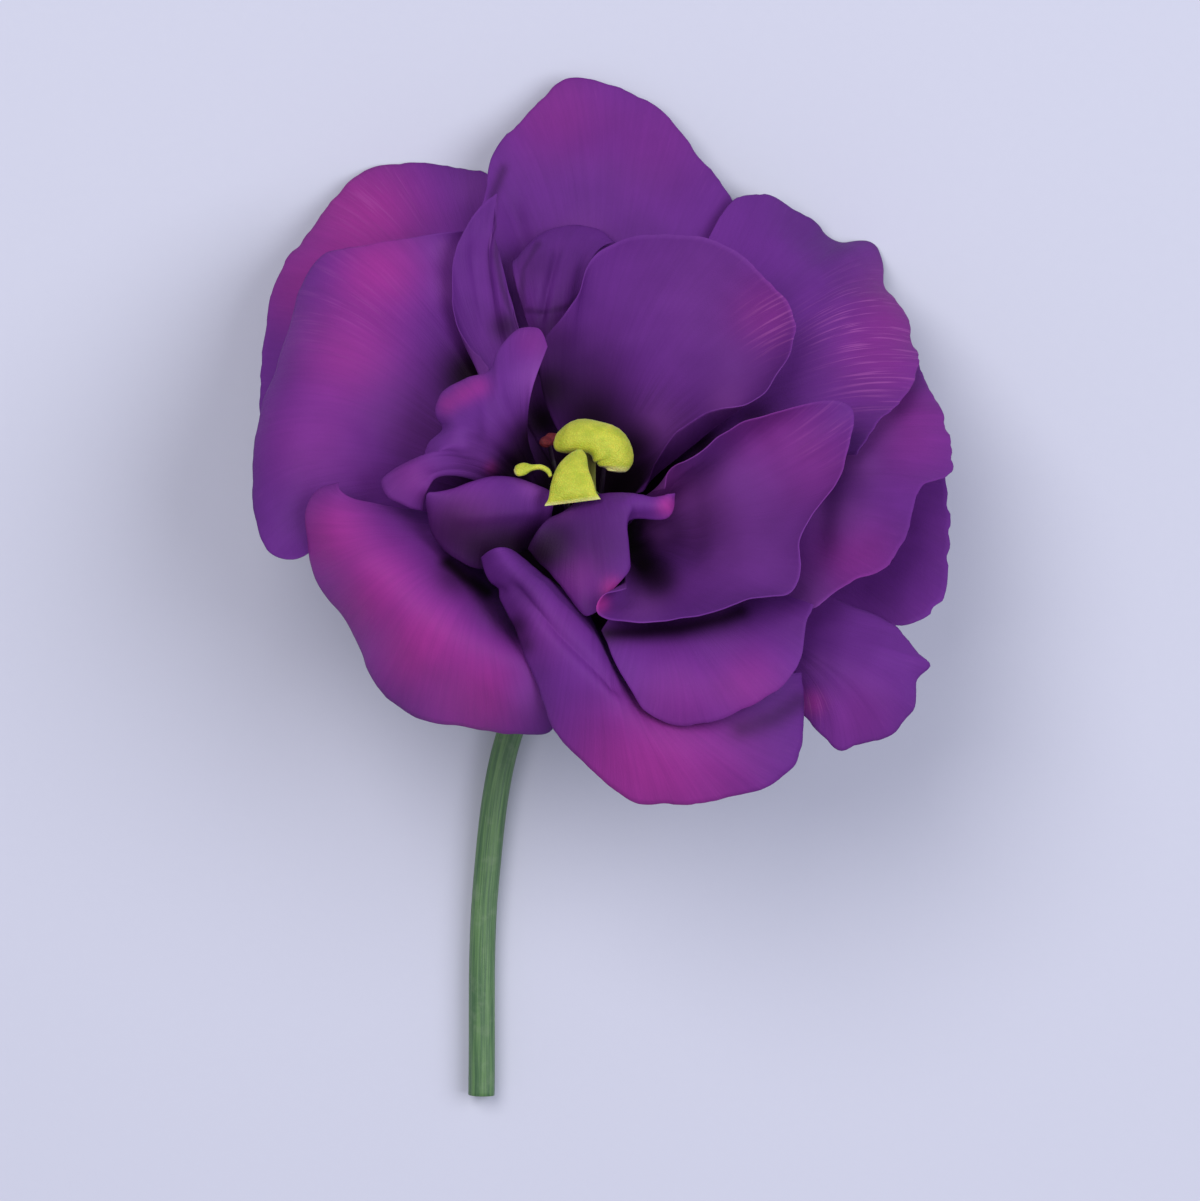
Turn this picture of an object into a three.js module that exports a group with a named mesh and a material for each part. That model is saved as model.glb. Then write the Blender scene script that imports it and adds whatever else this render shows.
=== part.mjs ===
import * as THREE from 'three';

// One double lisianthus blossom with its stalk, picked and lying on its back.
// Every length is in millimetres and every angle in degrees.
//
// Petals are drawn in the face frame: x to the right, y up and z towards someone who looks into
// the bloom, with the receptacle at the origin. A petal point is [x, y, height], where height is
// measured from the receptacle along the flower's own axis, which leans FACE_TILT from z.

const FACE_TILT = 24;
const REST_PITCH = 3.6;

const PETAL_THICKNESS = 0.5;
const PETAL_STEPS_ALONG = 8;
const BELLY_AT = 0.65;
const SPLINE_POWER = 0.75;

const RING_OUTERMOST = 6.6;
const RING_OUTER = 5.8;
const RING_MIDDLE = 5.0;
const RING_INNER = 4.2;
const RING_INNERMOST = 3.4;

const SEAT_GAP = 0.3;
const RECEPTACLE_RADIUS = 7.2;
const RECEPTACLE_DEPTH = 4.4;
const PEDICEL_DIAMETER = 3.3;
const SEPAL_THICKNESS = 0.6;
const SEPAL_WIDTH = 6;
const SEPAL_KEEL = 1.1;
const FILAMENT_DIAMETER = 0.6;
const ANTHER_LENGTH = 3.2;
const ANTHER_WIDTH = 1.5;
const ANTHER_TILT = 55;

const COLOURS = {
  petal: 0x642a82,
  sepal: 0x5d7d3a,
  receptacle: 0x6f8f45,
  pedicel: 0x4f7038,
  ovary: 0x8aa045,
  style: 0xa9b545,
  stigma: 0xbec32d,
  filament: 0x3a2440,
  anther: 0xa85f2e,
};

// Each petal: the ring that its claw stands on, the direction and width of the claw as angles about
// the axis, how far it rises and spreads above the ring at its first and last edge, its rim from the
// first edge to the last, and the belly line that the blade passes through below the rim.
const PETALS = {
  petal_top: {
    ring: RING_OUTER, azimuth: 93, claw: 38, rise: [16, 16], spread: [3, 3],
    rim: [
      [-13, 35, 18], [-12, 40, 18], [-11, 44.5, 18.2], [-7.5, 49, 18.5], [-2.2, 53.5, 19],
      [0.5, 53.2, 19], [7.5, 50.5, 18], [13, 44, 16], [17, 38.5, 14.2], [19, 34, 13.5],
    ],
    belly: [[-9.2, 25.5, 15.2], [1, 36, 17.5], [13, 26, 15.5]],
  },
  petal_upper_left: {
    ring: RING_OUTER, azimuth: 137, claw: 37, rise: [10, 13], spread: [5.5, 5.5],
    rim: [
      [-9.5, 40.5, 12.5], [-12.5, 43, 12.5], [-17.5, 43.8, 12.5], [-25.5, 43.2, 12.8],
      [-28.8, 40.5, 13], [-31.5, 36.8, 13.5], [-34.5, 32.5, 14], [-36.5, 27.5, 15],
      [-37.2, 22.5, 15.5], [-37.5, 17.5, 16], [-37, 11, 16],
    ],
    belly: [[-8, 28, 11.5], [-17, 28, 17.5], [-23.8, 11.2, 17]],
  },
  petal_left: {
    ring: RING_MIDDLE, azimuth: 158, claw: 57, rise: [12, 14], spread: [3.6, 5],
    rim: [
      [-13.2, 35.5, 24], [-17.5, 35, 24], [-26.2, 33.8, 23], [-30, 32.5, 22], [-32.5, 28.8, 21.5],
      [-34.2, 23.8, 21], [-36.2, 17.5, 20.5], [-37.8, 12.5, 20.5], [-38.2, 7.5, 20.5],
      [-37.5, 2.5, 20.5], [-35.8, -1, 21], [-33, -1.8, 22], [-31, -0.5, 22.5],
    ],
    belly: [[-10.5, 27, 17.5], [-23, 21, 24], [-26, 9, 23], [-22, 2.5, 18]],
  },
  petal_fold: {
    ring: RING_INNER, azimuth: 120, claw: 32, rise: [12, 12], spread: [2.4, 2.4],
    rim: [
      [-11.3, 19.8, 19.3], [-13.8, 23, 21.4], [-15.2, 28, 23.4], [-15.4, 32, 24.6], [-14, 36, 25.6],
      [-12, 38.6, 25.8], [-10.6, 39.6, 25.6], [-10.4, 34.5, 24.5], [-9.4, 30, 22.5], [-7.6, 24.5, 20],
    ],
    belly: [[-10.2, 13.8, 14.6], [-10.8, 22, 18.4], [-5, 17.6, 15.6]],
  },
  petal_inner_top: {
    ring: RING_INNER, azimuth: 62, claw: 70, rise: [15, 15], spread: [2.4, 2.4],
    rim: [
      [-5.5, 22.5, 22], [-1.2, 28, 26.5], [0.8, 32, 28.5], [5, 34.5, 29.5], [10, 34.8, 29.5],
      [13.8, 34.2, 29], [17, 32.5, 28.5], [20, 30, 28], [22.5, 27, 27.5], [23.2, 24.5, 27],
      [22.8, 21.8, 27], [21.4, 19, 26.5], [20, 16.8, 26], [18, 15.4, 25.5],
      [13.8, 14.4, 23.5], [9.8, 12.3, 20], [7.4, 8.8, 15],
    ],
    belly: [[-4.5, 15, 16.5], [1.5, 22, 19.5], [9, 22.5, 19.5], [15.2, 16.2, 18], [6, 6, 10]],
  },
  petal_upper_right: {
    ring: RING_MIDDLE, azimuth: 40, claw: 40, rise: [15, 12], spread: [3.2, 3.8],
    rim: [
      [15, 37.3, 16.8], [17, 39.5, 16], [21.2, 40, 14.5], [23.8, 38.5, 13], [26.2, 36.8, 11],
      [28.8, 34.8, 9.2], [32.5, 34.2, 8], [33.5, 32.5, 8.2], [33.8, 29.5, 10], [35.5, 27.5, 12],
      [36.8, 24.5, 14], [37.2, 21.2, 16.5], [37, 18.8, 18.5], [35, 15.5, 20.5], [32.5, 12.5, 22],
      [30.5, 9.5, 22.5],
    ],
    belly: [[9.5, 25.5, 17], [21.5, 25.5, 19.5], [20, 9, 15.5]],
  },
  petal_inner_right: {
    ring: RING_INNER, azimuth: -22, claw: 80, rise: [8, 15], spread: [2.4, 2.4],
    rim: [
      [8.8, 6.2, 18], [9.2, 8, 20.5], [11.2, 9.2, 23], [15, 12, 26], [18.8, 13.8, 27.5],
      [23.8, 15.2, 28], [27.5, 15.8, 28], [29.5, 15, 27.5], [29, 11.2, 27.5], [27.5, 6.8, 28],
      [25.5, 4.2, 28.5], [23.2, 0, 29], [23.5, -2.5, 29], [22.5, -5, 29.5], [20, -5.8, 30],
      [15, -7.2, 30.5], [10, -8.2, 31], [4.5, -8.6, 31], [1.2, -7.6, 31], [1.8, -6.2, 31],
      [4.2, -5.2, 30],
    ],
    belly: [[6.5, 5, 12], [14.8, 9, 19], [19, 4.5, 20], [15, -2, 20], [7, -5.5, 20], [3.8, -2.5, 18]],
  },
  petal_right: {
    ring: RING_OUTER, azimuth: -3, claw: 38, rise: [11, 12], spread: [4, 4],
    rim: [
      [36.2, 22.5, 11.5], [37.8, 20, 13.5], [39.5, 16.2, 16.5], [40.8, 11.8, 19], [40.5, 7.5, 21],
      [37.5, 6.2, 22], [36.5, 3, 22.5], [34, -2, 23], [29.5, -4.5, 23.5], [26.2, -6.5, 23.5],
      [22.5, -8, 23],
    ],
    belly: [[23.6, 17.8, 13.5], [25, 6.3, 18], [15.4, -3, 14.8]],
  },
  petal_lower_right_back: {
    ring: RING_OUTERMOST, azimuth: -5, claw: 28, rise: [9, 9], spread: [6, 6],
    rim: [
      [40, 10, 13], [40.8, 3.8, 14], [40.5, -2.5, 14.5], [39.5, -7, 15], [37.5, -8.6, 15],
      [34.5, -9.4, 14], [30.5, -9.8, 13],
    ],
    belly: [[26, 9.5, 11.5], [26.3, 2, 11], [21, -3.5, 10]],
  },
  petal_lower_right: {
    ring: RING_OUTER, azimuth: -46, claw: 30, rise: [10, 11], spread: [12, 8],
    rim: [
      [23, -18.6, 14.5], [25, -20.2, 14.5], [26.6, -21.8, 14], [28.2, -23.2, 13.5],
      [31.5, -22.4, 13.5], [34.6, -20.8, 14], [36.4, -18.6, 14.5], [36.8, -15.6, 15],
      [38.4, -13.6, 15.5], [36.6, -12, 16], [35, -9.8, 16.5], [32, -8.1, 17], [29, -7, 17.2],
    ],
    belly: [[19.5, -12.3, 15.8], [24.5, -12, 18.4], [22.5, -4.6, 16.4]],
  },
  petal_inner_lower_right: {
    ring: RING_MIDDLE, azimuth: -66, claw: 40, rise: [13, 12], spread: [5, 7],
    rim: [
      [25, -7, 26], [24.2, -9.2, 25.5], [23.5, -13, 24.5], [21.2, -16.2, 24], [17.5, -18.5, 23.5],
      [13.8, -19.8, 23.5], [10, -20.5, 23.7], [6.6, -19, 25.2], [3.9, -15, 26.8], [1.5, -10, 26.4],
    ],
    belly: [[15.9, -4, 19], [8.5, -10.5, 25.5], [2.5, -7, 22]],
  },
  petal_bottom: {
    ring: RING_OUTER, azimuth: -97, claw: 46, rise: [13, 10], spread: [7, 12],
    rim: [
      [-12, -1.8, 27], [-11.5, -3.5, 27], [-9.5, -7, 27], [-6.5, -13.8, 26], [-3.5, -21.2, 22],
      [1, -25.8, 19], [5.5, -29.2, 17], [10, -29.2, 17], [15, -28.5, 17], [20.5, -26.8, 17],
      [23, -24.2, 17], [23.8, -21, 18], [24, -17.5, 19.2], [23.6, -14.6, 20.2],
    ],
    belly: [
      [-8.5, -1, 28], [-6, -3.5, 29], [-2.5, -7.5, 29], [1.5, -12, 27], [4.5, -16, 23],
      [9, -17, 21], [14, -14, 20.5],
    ],
  },
  petal_lower_left: {
    ring: RING_MIDDLE, azimuth: -147, claw: 44, rise: [15, 5], spread: [4, 16],
    rim: [
      [-28, 6.8, 27], [-30, 6, 26], [-31.8, 3, 24.5], [-31.8, -0.5, 23], [-30, -5.2, 21],
      [-27, -9.5, 19], [-25, -13, 18], [-23, -16.5, 17], [-20, -19.2, 16.5], [-16.2, -20.2, 16.5],
      [-12.5, -21, 16.5], [-7.5, -21.4, 17.4], [-4.2, -20.8, 18.2], [-4.4, -16, 20.8],
    ],
    belly: [[-23, 4.2, 25.5], [-19, -3, 28.5], [-13.5, -8, 27.5], [-7, -11.6, 23.6]],
  },
  petal_inner_left: {
    ring: RING_INNERMOST, azimuth: 170, claw: 60, rise: [15, 15], spread: [4, 2.5],
    rim: [
      [-4.6, 22, 31], [-5.6, 23.9, 31], [-7.5, 24.2, 31], [-9.8, 22.2, 31], [-11, 19.2, 30.5],
      [-13.8, 18.5, 30], [-16.5, 16.8, 30], [-17, 14.2, 30], [-16.2, 12.8, 30],
      [-17.8, 11.2, 29.5], [-18.5, 8.8, 29], [-21.2, 8.2, 28], [-23.2, 7, 28], [-22.6, 5.2, 28],
      [-20.5, 4, 28], [-18.5, 3.6, 27.5],
    ],
    belly: [[-7, 13, 25], [-9.5, 12.2, 28.5], [-11.8, 11, 29.8], [-13.2, 9.2, 29.3], [-14.5, 7.4, 28]],
  },
  petal_flap: {
    ring: RING_INNERMOST, azimuth: -137, claw: 40, rise: [15, 15], spread: [2, 2],
    rim: [
      [-18.2, 3.4, 28.2], [-17.4, 0.6, 27.4], [-15, -1.8, 26.6], [-12, -3, 25.4], [-8.4, -1.6, 24.4],
      [-4.4, 0.2, 21.6],
    ],
    belly: [[-15, 6, 29.2], [-11.5, 7.2, 29.5], [-8, 6.9, 28], [-3.3, 5.5, 24.4]],
  },
  petal_inner_bottom: {
    ring: RING_INNERMOST, azimuth: -85, claw: 50, rise: [15, 15], spread: [2, 2],
    rim: [
      [9.6, 5.4, 28], [8.8, 2.8, 28], [4.5, 2.2, 27.5], [4.2, -0.5, 27.5], [4.6, -2.8, 27.4],
      [2.8, -5.2, 27], [1.2, -7.5, 26.4], [0, -8.2, 26.4], [-3.4, -4.6, 26.5], [-6.8, -0.8, 26.5],
    ],
    belly: [[7, 4.2, 25.8], [4.5, 5.2, 26.8], [0, 4.6, 26], [-3.8, 2.8, 26.2]],
  },
  petaloid_pocket: {
    ring: RING_MIDDLE, azimuth: 103, claw: 12, rise: [15, 15], spread: [2.7, 2.7],
    rim: [[-8, 32, 18.6], [-6.2, 34.8, 18.8], [-3, 36, 18.9], [1, 36, 19], [3, 34.5, 19]],
    belly: [[-7.8, 27.5, 20], [-4.5, 26.8, 21], [-1, 27.8, 20.5]],
  },
};

// Each sepal: its direction about the axis, then distance from the axis and height of its tip.
const SEPALS = [
  { azimuth: 20, tip: [26, 10] },
  { azimuth: 92, tip: [24, 9] },
  { azimuth: 164, tip: [25, 10] },
  { azimuth: 236, tip: [26, 11] },
  { azimuth: 308, tip: [27, 11] },
];

// Each stamen: direction about the axis, then distance from the axis and height of the anther.
const STAMENS = [
  { azimuth: 138, anther: [6.0, 19.5] },
  { azimuth: 68, anther: [5.5, 18] },
  { azimuth: -4, anther: [3.4, 10.5] },
  { azimuth: -76, anther: [2.9, 15.5] },
  { azimuth: -148, anther: [2.8, 16.5] },
];

const lean = THREE.MathUtils.degToRad(FACE_TILT);
const AXIS = new THREE.Vector3(0, Math.sin(lean), Math.cos(lean));
const SIDE = new THREE.Vector3(1, 0, 0);
const UP = new THREE.Vector3(0, Math.cos(lean), -Math.sin(lean));

const mix = (pair, t) => pair[0] + (pair[1] - pair[0]) * t;

// A face point [x, y, height] as a position.
function facePoint([x, y, height]) {
  return new THREE.Vector3(x, y, (height - y * Math.sin(lean)) / Math.cos(lean));
}

// The outward direction at an angle, in radians, about the flower's axis.
function outward(angle) {
  return SIDE.clone().multiplyScalar(Math.cos(angle)).addScaledVector(UP, Math.sin(angle));
}

// A position from a direction about the axis, a distance from the axis and a height.
function axisPoint(azimuth, distance, height) {
  const angle = THREE.MathUtils.degToRad(azimuth);
  return outward(angle).multiplyScalar(distance).addScaledVector(AXIS, height);
}

// A smooth curve through points, with tangents that allow for uneven spacing.
function splineThrough(points) {
  const knots = [0];
  for (let i = 1; i < points.length; i += 1) {
    knots.push(knots[i - 1] + points[i].distanceTo(points[i - 1]) ** SPLINE_POWER);
  }
  const length = knots[knots.length - 1];
  const at = knots.map((knot) => knot / length);
  const slope = (i) => points[i + 1].clone().sub(points[i]).divideScalar(at[i + 1] - at[i]);
  const last = points.length - 1;
  const tangents = points.map((_, i) => {
    if (i === 0) return slope(0);
    if (i === last) return slope(last - 1);
    const before = at[i] - at[i - 1];
    const after = at[i + 1] - at[i];
    return slope(i - 1).multiplyScalar(after).addScaledVector(slope(i), before)
      .divideScalar(before + after);
  });
  return (t) => {
    let i = 0;
    while (i < last - 1 && t >= at[i + 1]) i += 1;
    const step = at[i + 1] - at[i];
    const u = (t - at[i]) / step;
    return points[i].clone().multiplyScalar(2 * u ** 3 - 3 * u ** 2 + 1)
      .addScaledVector(tangents[i], (u ** 3 - 2 * u ** 2 + u) * step)
      .addScaledVector(points[i + 1], 3 * u ** 2 - 2 * u ** 3)
      .addScaledVector(tangents[i + 1], (u ** 3 - u ** 2) * step);
  };
}

function bezier(a, b, c, d, s) {
  const r = 1 - s;
  return a.clone().multiplyScalar(r ** 3)
    .addScaledVector(b, 3 * s * r * r)
    .addScaledVector(c, 3 * s * s * r)
    .addScaledVector(d, s ** 3);
}

// +1 where the rim runs clockwise about the flower's axis, as seen from the front, else -1.
function rimSense(rim) {
  const angles = rim.map((point) => Math.atan2(point.dot(UP), point.dot(SIDE)));
  let turned = 0;
  for (let i = 1; i < angles.length; i += 1) {
    const step = angles[i] - angles[i - 1];
    turned += Math.atan2(Math.sin(step), Math.cos(step));
  }
  return turned < 0 ? 1 : -1;
}

// The petal as a surface: s runs from claw to rim, t from the first edge to the last.
function petalSurface(petal) {
  const rimPoints = petal.rim.map(facePoint);
  const rim = splineThrough(rimPoints);
  const belly = splineThrough(petal.belly.map(facePoint));
  const halfClaw = THREE.MathUtils.degToRad(petal.claw) / 2 * rimSense(rimPoints);
  const centre = THREE.MathUtils.degToRad(petal.azimuth);
  const b = BELLY_AT;
  const r = 1 - b;
  return (s, t) => {
    const direction = outward(centre + halfClaw * (1 - 2 * t));
    const foot = direction.clone().multiplyScalar(petal.ring);
    const lift = foot.clone().addScaledVector(AXIS, mix(petal.rise, t))
      .addScaledVector(direction, mix(petal.spread, t));
    const edge = rim(t);
    const pull = belly(t).addScaledVector(foot, -(r ** 3))
      .addScaledVector(lift, -3 * b * r * r)
      .addScaledVector(edge, -(b ** 3))
      .divideScalar(3 * b * b * r);
    return bezier(foot, lift, pull, edge, s);
  };
}

// A closed sheet of the given thickness about a surface of (s, t). Where a seat direction is given,
// the first row is cut square to it.
function sheet(surface, stepsAlong, stepsAcross, thickness, seat) {
  const rows = stepsAlong + 1;
  const columns = stepsAcross + 1;
  const grid = [];
  for (let i = 0; i < rows; i += 1) {
    for (let j = 0; j < columns; j += 1) {
      grid.push(surface(i / stepsAlong, j / stepsAcross));
    }
  }
  const point = (i, j) => grid[i * columns + j];
  const normalAt = (i, j) => {
    const along = point(Math.min(i + 1, rows - 1), j).clone().sub(point(Math.max(i - 1, 0), j));
    const across = point(i, Math.min(j + 1, columns - 1)).clone().sub(point(i, Math.max(j - 1, 0)));
    const normal = along.cross(across);
    if (seat && i === 0) normal.addScaledVector(seat, -normal.dot(seat));
    return normal.normalize();
  };
  const positions = [];
  for (const side of [0.5, -0.5]) {
    for (let i = 0; i < rows; i += 1) {
      for (let j = 0; j < columns; j += 1) {
        const moved = point(i, j).clone().addScaledVector(normalAt(i, j), side * thickness);
        positions.push(moved.x, moved.y, moved.z);
      }
    }
  }
  const back = rows * columns;
  const triangles = [];
  for (let i = 0; i < stepsAlong; i += 1) {
    for (let j = 0; j < stepsAcross; j += 1) {
      const a = i * columns + j;
      const b = a + columns;
      triangles.push(a, b, b + 1, a, b + 1, a + 1);
      triangles.push(back + a, back + b + 1, back + b, back + a, back + a + 1, back + b + 1);
    }
  }
  const edge = [];
  for (let i = 0; i < stepsAlong; i += 1) edge.push(i * columns);
  for (let j = 0; j < stepsAcross; j += 1) edge.push(stepsAlong * columns + j);
  for (let i = stepsAlong; i > 0; i -= 1) edge.push(i * columns + stepsAcross);
  for (let j = stepsAcross; j > 0; j -= 1) edge.push(j);
  edge.forEach((a, k) => {
    const b = edge[(k + 1) % edge.length];
    triangles.push(a, back + a, back + b, a, back + b, b);
  });
  return closedGeometry(positions, triangles);
}

// A closed tube through stations {at, wide, deep}; the first hint direction is its wide side.
function tube(stations, hint, sides) {
  const positions = [];
  const triangles = [];
  const last = stations.length - 1;
  const wideWay = hint.clone();
  stations.forEach((station, i) => {
    const forward = stations[Math.min(i + 1, last)].at.clone()
      .sub(stations[Math.max(i - 1, 0)].at).normalize();
    wideWay.addScaledVector(forward, -wideWay.dot(forward)).normalize();
    const deepWay = forward.clone().cross(wideWay);
    for (let k = 0; k < sides; k += 1) {
      const angle = 2 * Math.PI * k / sides;
      const p = station.at.clone()
        .addScaledVector(wideWay, station.wide / 2 * Math.cos(angle))
        .addScaledVector(deepWay, station.deep / 2 * Math.sin(angle));
      positions.push(p.x, p.y, p.z);
    }
  });
  for (let i = 0; i < last; i += 1) {
    for (let k = 0; k < sides; k += 1) {
      const a = i * sides + k;
      const b = i * sides + (k + 1) % sides;
      triangles.push(a, b, b + sides, a, b + sides, a + sides);
    }
  }
  const start = stations[0].at;
  const end = stations[last].at;
  positions.push(start.x, start.y, start.z, end.x, end.y, end.z);
  const startIndex = stations.length * sides;
  for (let k = 0; k < sides; k += 1) {
    const next = (k + 1) % sides;
    triangles.push(startIndex, next, k);
    triangles.push(startIndex + 1, last * sides + k, last * sides + next);
  }
  return closedGeometry(positions, triangles);
}

function closedGeometry(positions, triangles) {
  const geometry = new THREE.BufferGeometry();
  geometry.setAttribute('position', new THREE.Float32BufferAttribute(positions, 3));
  geometry.setIndex(triangles);
  geometry.computeVertexNormals();
  return geometry;
}

function piece(name, geometry, colour) {
  const material = new THREE.MeshStandardMaterial({ color: colour, roughness: 0.7 });
  material.name = `${name}_material`;
  const mesh = new THREE.Mesh(geometry, material);
  mesh.name = name;
  return mesh;
}

// Stations of a tube that is round about the flower's axis, from [distance, height] pairs.
function turned(profile, centre) {
  return profile.map(([radius, height]) => ({
    at: centre.clone().addScaledVector(AXIS, height),
    wide: 2 * radius,
    deep: 2 * radius,
  }));
}

function petalPieces() {
  return Object.entries(PETALS).map(([name, petal]) => {
    const stepsAcross = Math.max(8, Math.min(20, petal.rim.length + 3));
    const surface = petalSurface(petal);
    const geometry = sheet(surface, PETAL_STEPS_ALONG, stepsAcross, PETAL_THICKNESS, AXIS);
    return piece(name, geometry, COLOURS.petal);
  });
}

function receptaclePiece() {
  const top = -SEAT_GAP;
  const profile = [
    [RECEPTACLE_RADIUS - 0.5, top],
    [RECEPTACLE_RADIUS, top - 0.5],
    [RECEPTACLE_RADIUS - 0.6, top - 1.4],
    [RECEPTACLE_RADIUS - 2.4, top - 2.7],
    [PEDICEL_DIAMETER / 2 + 1.2, top - 3.7],
    [PEDICEL_DIAMETER / 2 + 0.3, top - RECEPTACLE_DEPTH],
  ];
  return piece('receptacle', tube(turned(profile.reverse(), new THREE.Vector3()), SIDE, 24),
    COLOURS.receptacle);
}

// A narrow leaf, keeled on its outer side, that starts at the stalk, wraps the receptacle and follows
// the bloom.
function sepalPiece(sepal, index) {
  const angle = THREE.MathUtils.degToRad(sepal.azimuth);
  const across = SIDE.clone().multiplyScalar(-Math.sin(angle)).addScaledVector(UP, Math.cos(angle));
  const [tipDistance, tipHeight] = sepal.tip;
  const spine = splineThrough([
    [2.9, -5.45],
    [5.7, -3.95],
    [8.1, -1.7],
    [10.8, 0.9],
    [0.5 * (tipDistance + 11), 0.6 * tipHeight],
    sepal.tip,
  ].map(([distance, height]) => axisPoint(sepal.azimuth, distance, height)));
  const surface = (s, t) => {
    const side = 2 * t - 1;
    const width = SEPAL_WIDTH * (0.45 + 2.3 * s - 1.25 * s ** 2) * (1 - s ** 1.5) + 0.4;
    const keel = SEPAL_KEEL * Math.min(1, 0.2 + 3 * s) * (1 - s);
    const slope = spine(Math.min(s + 0.01, 1)).sub(spine(Math.max(s - 0.01, 0))).normalize();
    const inner = slope.cross(across);
    return spine(s).addScaledVector(across, side * width / 2)
      .addScaledVector(inner, keel * side * side);
  };
  return piece(`sepal_${index + 1}`, sheet(surface, 12, 4, SEPAL_THICKNESS), COLOURS.sepal);
}

function pistilPieces() {
  const foot = axisPoint(56, 0.2, 0);
  const ovary = [[1.2, 0], [1.7, 0.6], [2.0, 3], [2.1, 6], [1.9, 9], [1.4, 11.5], [0.9, 13]];
  const styleStations = [[0.8, 13 + SEAT_GAP], [0.7, 16], [0.7, 20], [0.8, 25.4]];
  const lobe = (points, sizes) => points.map((point, i) => ({
    at: facePoint(point), wide: sizes[i][0], deep: sizes[i][1],
  }));
  const upper = lobe(
    [[-3.8, 10.9, 26.1], [-3.4, 11, 26.3], [-2.6, 11.3, 26.6], [-1, 11.9, 27.2], [0.7, 11.7, 27.4],
      [2.2, 10.8, 27], [2.9, 9.6, 26.5], [3, 8.6, 26.2], [2.95, 7.9, 26]],
    [[0.8, 0.6], [2.2, 1.4], [3.2, 2.2], [4.1, 2.8], [4, 3], [4.9, 3], [4.7, 2.6], [3.9, 2],
      [1.6, 0.8]],
  );
  const lower = lobe(
    [[-1, 10.2, 27.9], [-1.1, 9.7, 28.1], [-1.8, 7.8, 28.9], [-1.85, 6.4, 29], [-1.75, 5.2, 28.9],
      [-1.7, 4.8, 28.8], [-1.65, 4.4, 28.6]],
    [[0.8, 0.6], [1.8, 1.2], [3.9, 1.8], [4.7, 1.8], [5.2, 1.6], [5.7, 1], [6.4, 0.5]],
  );
  const curl = lobe(
    [[-4.2, 7.3, 28.6], [-4.5, 7.9, 28.6], [-5.3, 8.35, 28.5], [-6.3, 8.3, 28.4],
      [-7.2, 8.15, 28.2], [-7.9, 7.95, 28.1], [-8.25, 7.85, 28]],
    [[0.4, 0.4], [0.6, 0.5], [0.6, 0.6], [0.7, 0.6], [1.5, 1], [1.4, 0.9], [0.6, 0.4]],
  );
  return [
    piece('ovary', tube(turned(ovary, foot), SIDE, 14), COLOURS.ovary),
    piece('style', tube(turned(styleStations, foot), SIDE, 10), COLOURS.style),
    piece('stigma_upper', tube(upper, UP, 14), COLOURS.stigma),
    piece('stigma_lower', tube(lower, SIDE, 14), COLOURS.stigma),
    piece('stigma_curl', tube(curl, UP, 10), COLOURS.stigma),
  ];
}

// A thread with an anther that lies across its top.
function stamenPieces(stamen, index) {
  const [distance, height] = stamen.anther;
  const angle = THREE.MathUtils.degToRad(stamen.azimuth);
  const tilt = THREE.MathUtils.degToRad(ANTHER_TILT);
  const centre = axisPoint(stamen.azimuth, distance, height);
  const way = AXIS.clone().multiplyScalar(Math.cos(tilt))
    .addScaledVector(outward(angle + Math.PI / 2), Math.sin(tilt));
  const depth = 0.7 * ANTHER_WIDTH;
  const seat = depth / 2 / Math.sin(tilt) + SEAT_GAP;
  const foot = axisPoint(stamen.azimuth, 2.65, 0);
  const middle = axisPoint(stamen.azimuth, 1.9 + 0.38 * distance, 7);
  const top = axisPoint(stamen.azimuth, distance, height - seat);
  const line = splineThrough([foot, middle, top]);
  const filament = [];
  for (let i = 0; i <= 8; i += 1) {
    filament.push({ at: line(i / 8), wide: FILAMENT_DIAMETER, deep: FILAMENT_DIAMETER });
  }
  const anther = [-0.5, -0.3, 0, 0.3, 0.5].map((part) => ({
    at: centre.clone().addScaledVector(way, part * ANTHER_LENGTH),
    wide: ANTHER_WIDTH * (1 - 3 * part ** 2),
    deep: depth * (1 - 3 * part ** 2),
  }));
  return [
    piece(`filament_${index + 1}`, tube(filament, SIDE, 6), COLOURS.filament),
    piece(`anther_${index + 1}`, tube(anther, outward(angle), 8), COLOURS.anther),
  ];
}

// The stalk: it leaves the receptacle along the axis, then bends to lie along the table.
function pedicelPiece() {
  const top = SEAT_GAP + RECEPTACLE_DEPTH + SEAT_GAP;
  const flat = Math.tan(THREE.MathUtils.degToRad(REST_PITCH));
  const elbow = new THREE.Vector3(-1.6, -5.2, -7.3);
  const along = (x, y) => new THREE.Vector3(x, y, elbow.z + (y - elbow.y) * flat);
  const neck = AXIS.clone().multiplyScalar(-top - 0.5);
  const line = splineThrough([
    neck,
    AXIS.clone().multiplyScalar(-top - 1.2),
    elbow,
    along(-4, -10),
    along(-9.5, -23),
    along(-12, -40),
    along(-12.5, -64),
  ]);
  const round = (at) => ({ at, wide: PEDICEL_DIAMETER, deep: PEDICEL_DIAMETER });
  const stations = [round(AXIS.clone().multiplyScalar(-top))];
  for (let i = 0; i <= 25; i += 1) {
    stations.push(round(line(i / 25)));
  }
  return piece('pedicel', tube(stations, SIDE, 14), COLOURS.pedicel);
}

function restOnTable(meshes) {
  const turn = new THREE.Matrix4().makeRotationX(THREE.MathUtils.degToRad(-REST_PITCH));
  const box = new THREE.Box3();
  meshes.forEach((mesh) => {
    mesh.geometry.applyMatrix4(turn);
    mesh.geometry.computeBoundingBox();
    box.union(mesh.geometry.boundingBox);
  });
  const middle = box.getCenter(new THREE.Vector3());
  meshes.forEach((mesh) => mesh.geometry.translate(-middle.x, -middle.y, -box.min.z));
}

const meshes = [
  ...petalPieces(),
  receptaclePiece(),
  ...SEPALS.map(sepalPiece),
  ...pistilPieces(),
  ...STAMENS.flatMap(stamenPieces),
  pedicelPiece(),
];
restOnTable(meshes);

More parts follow.
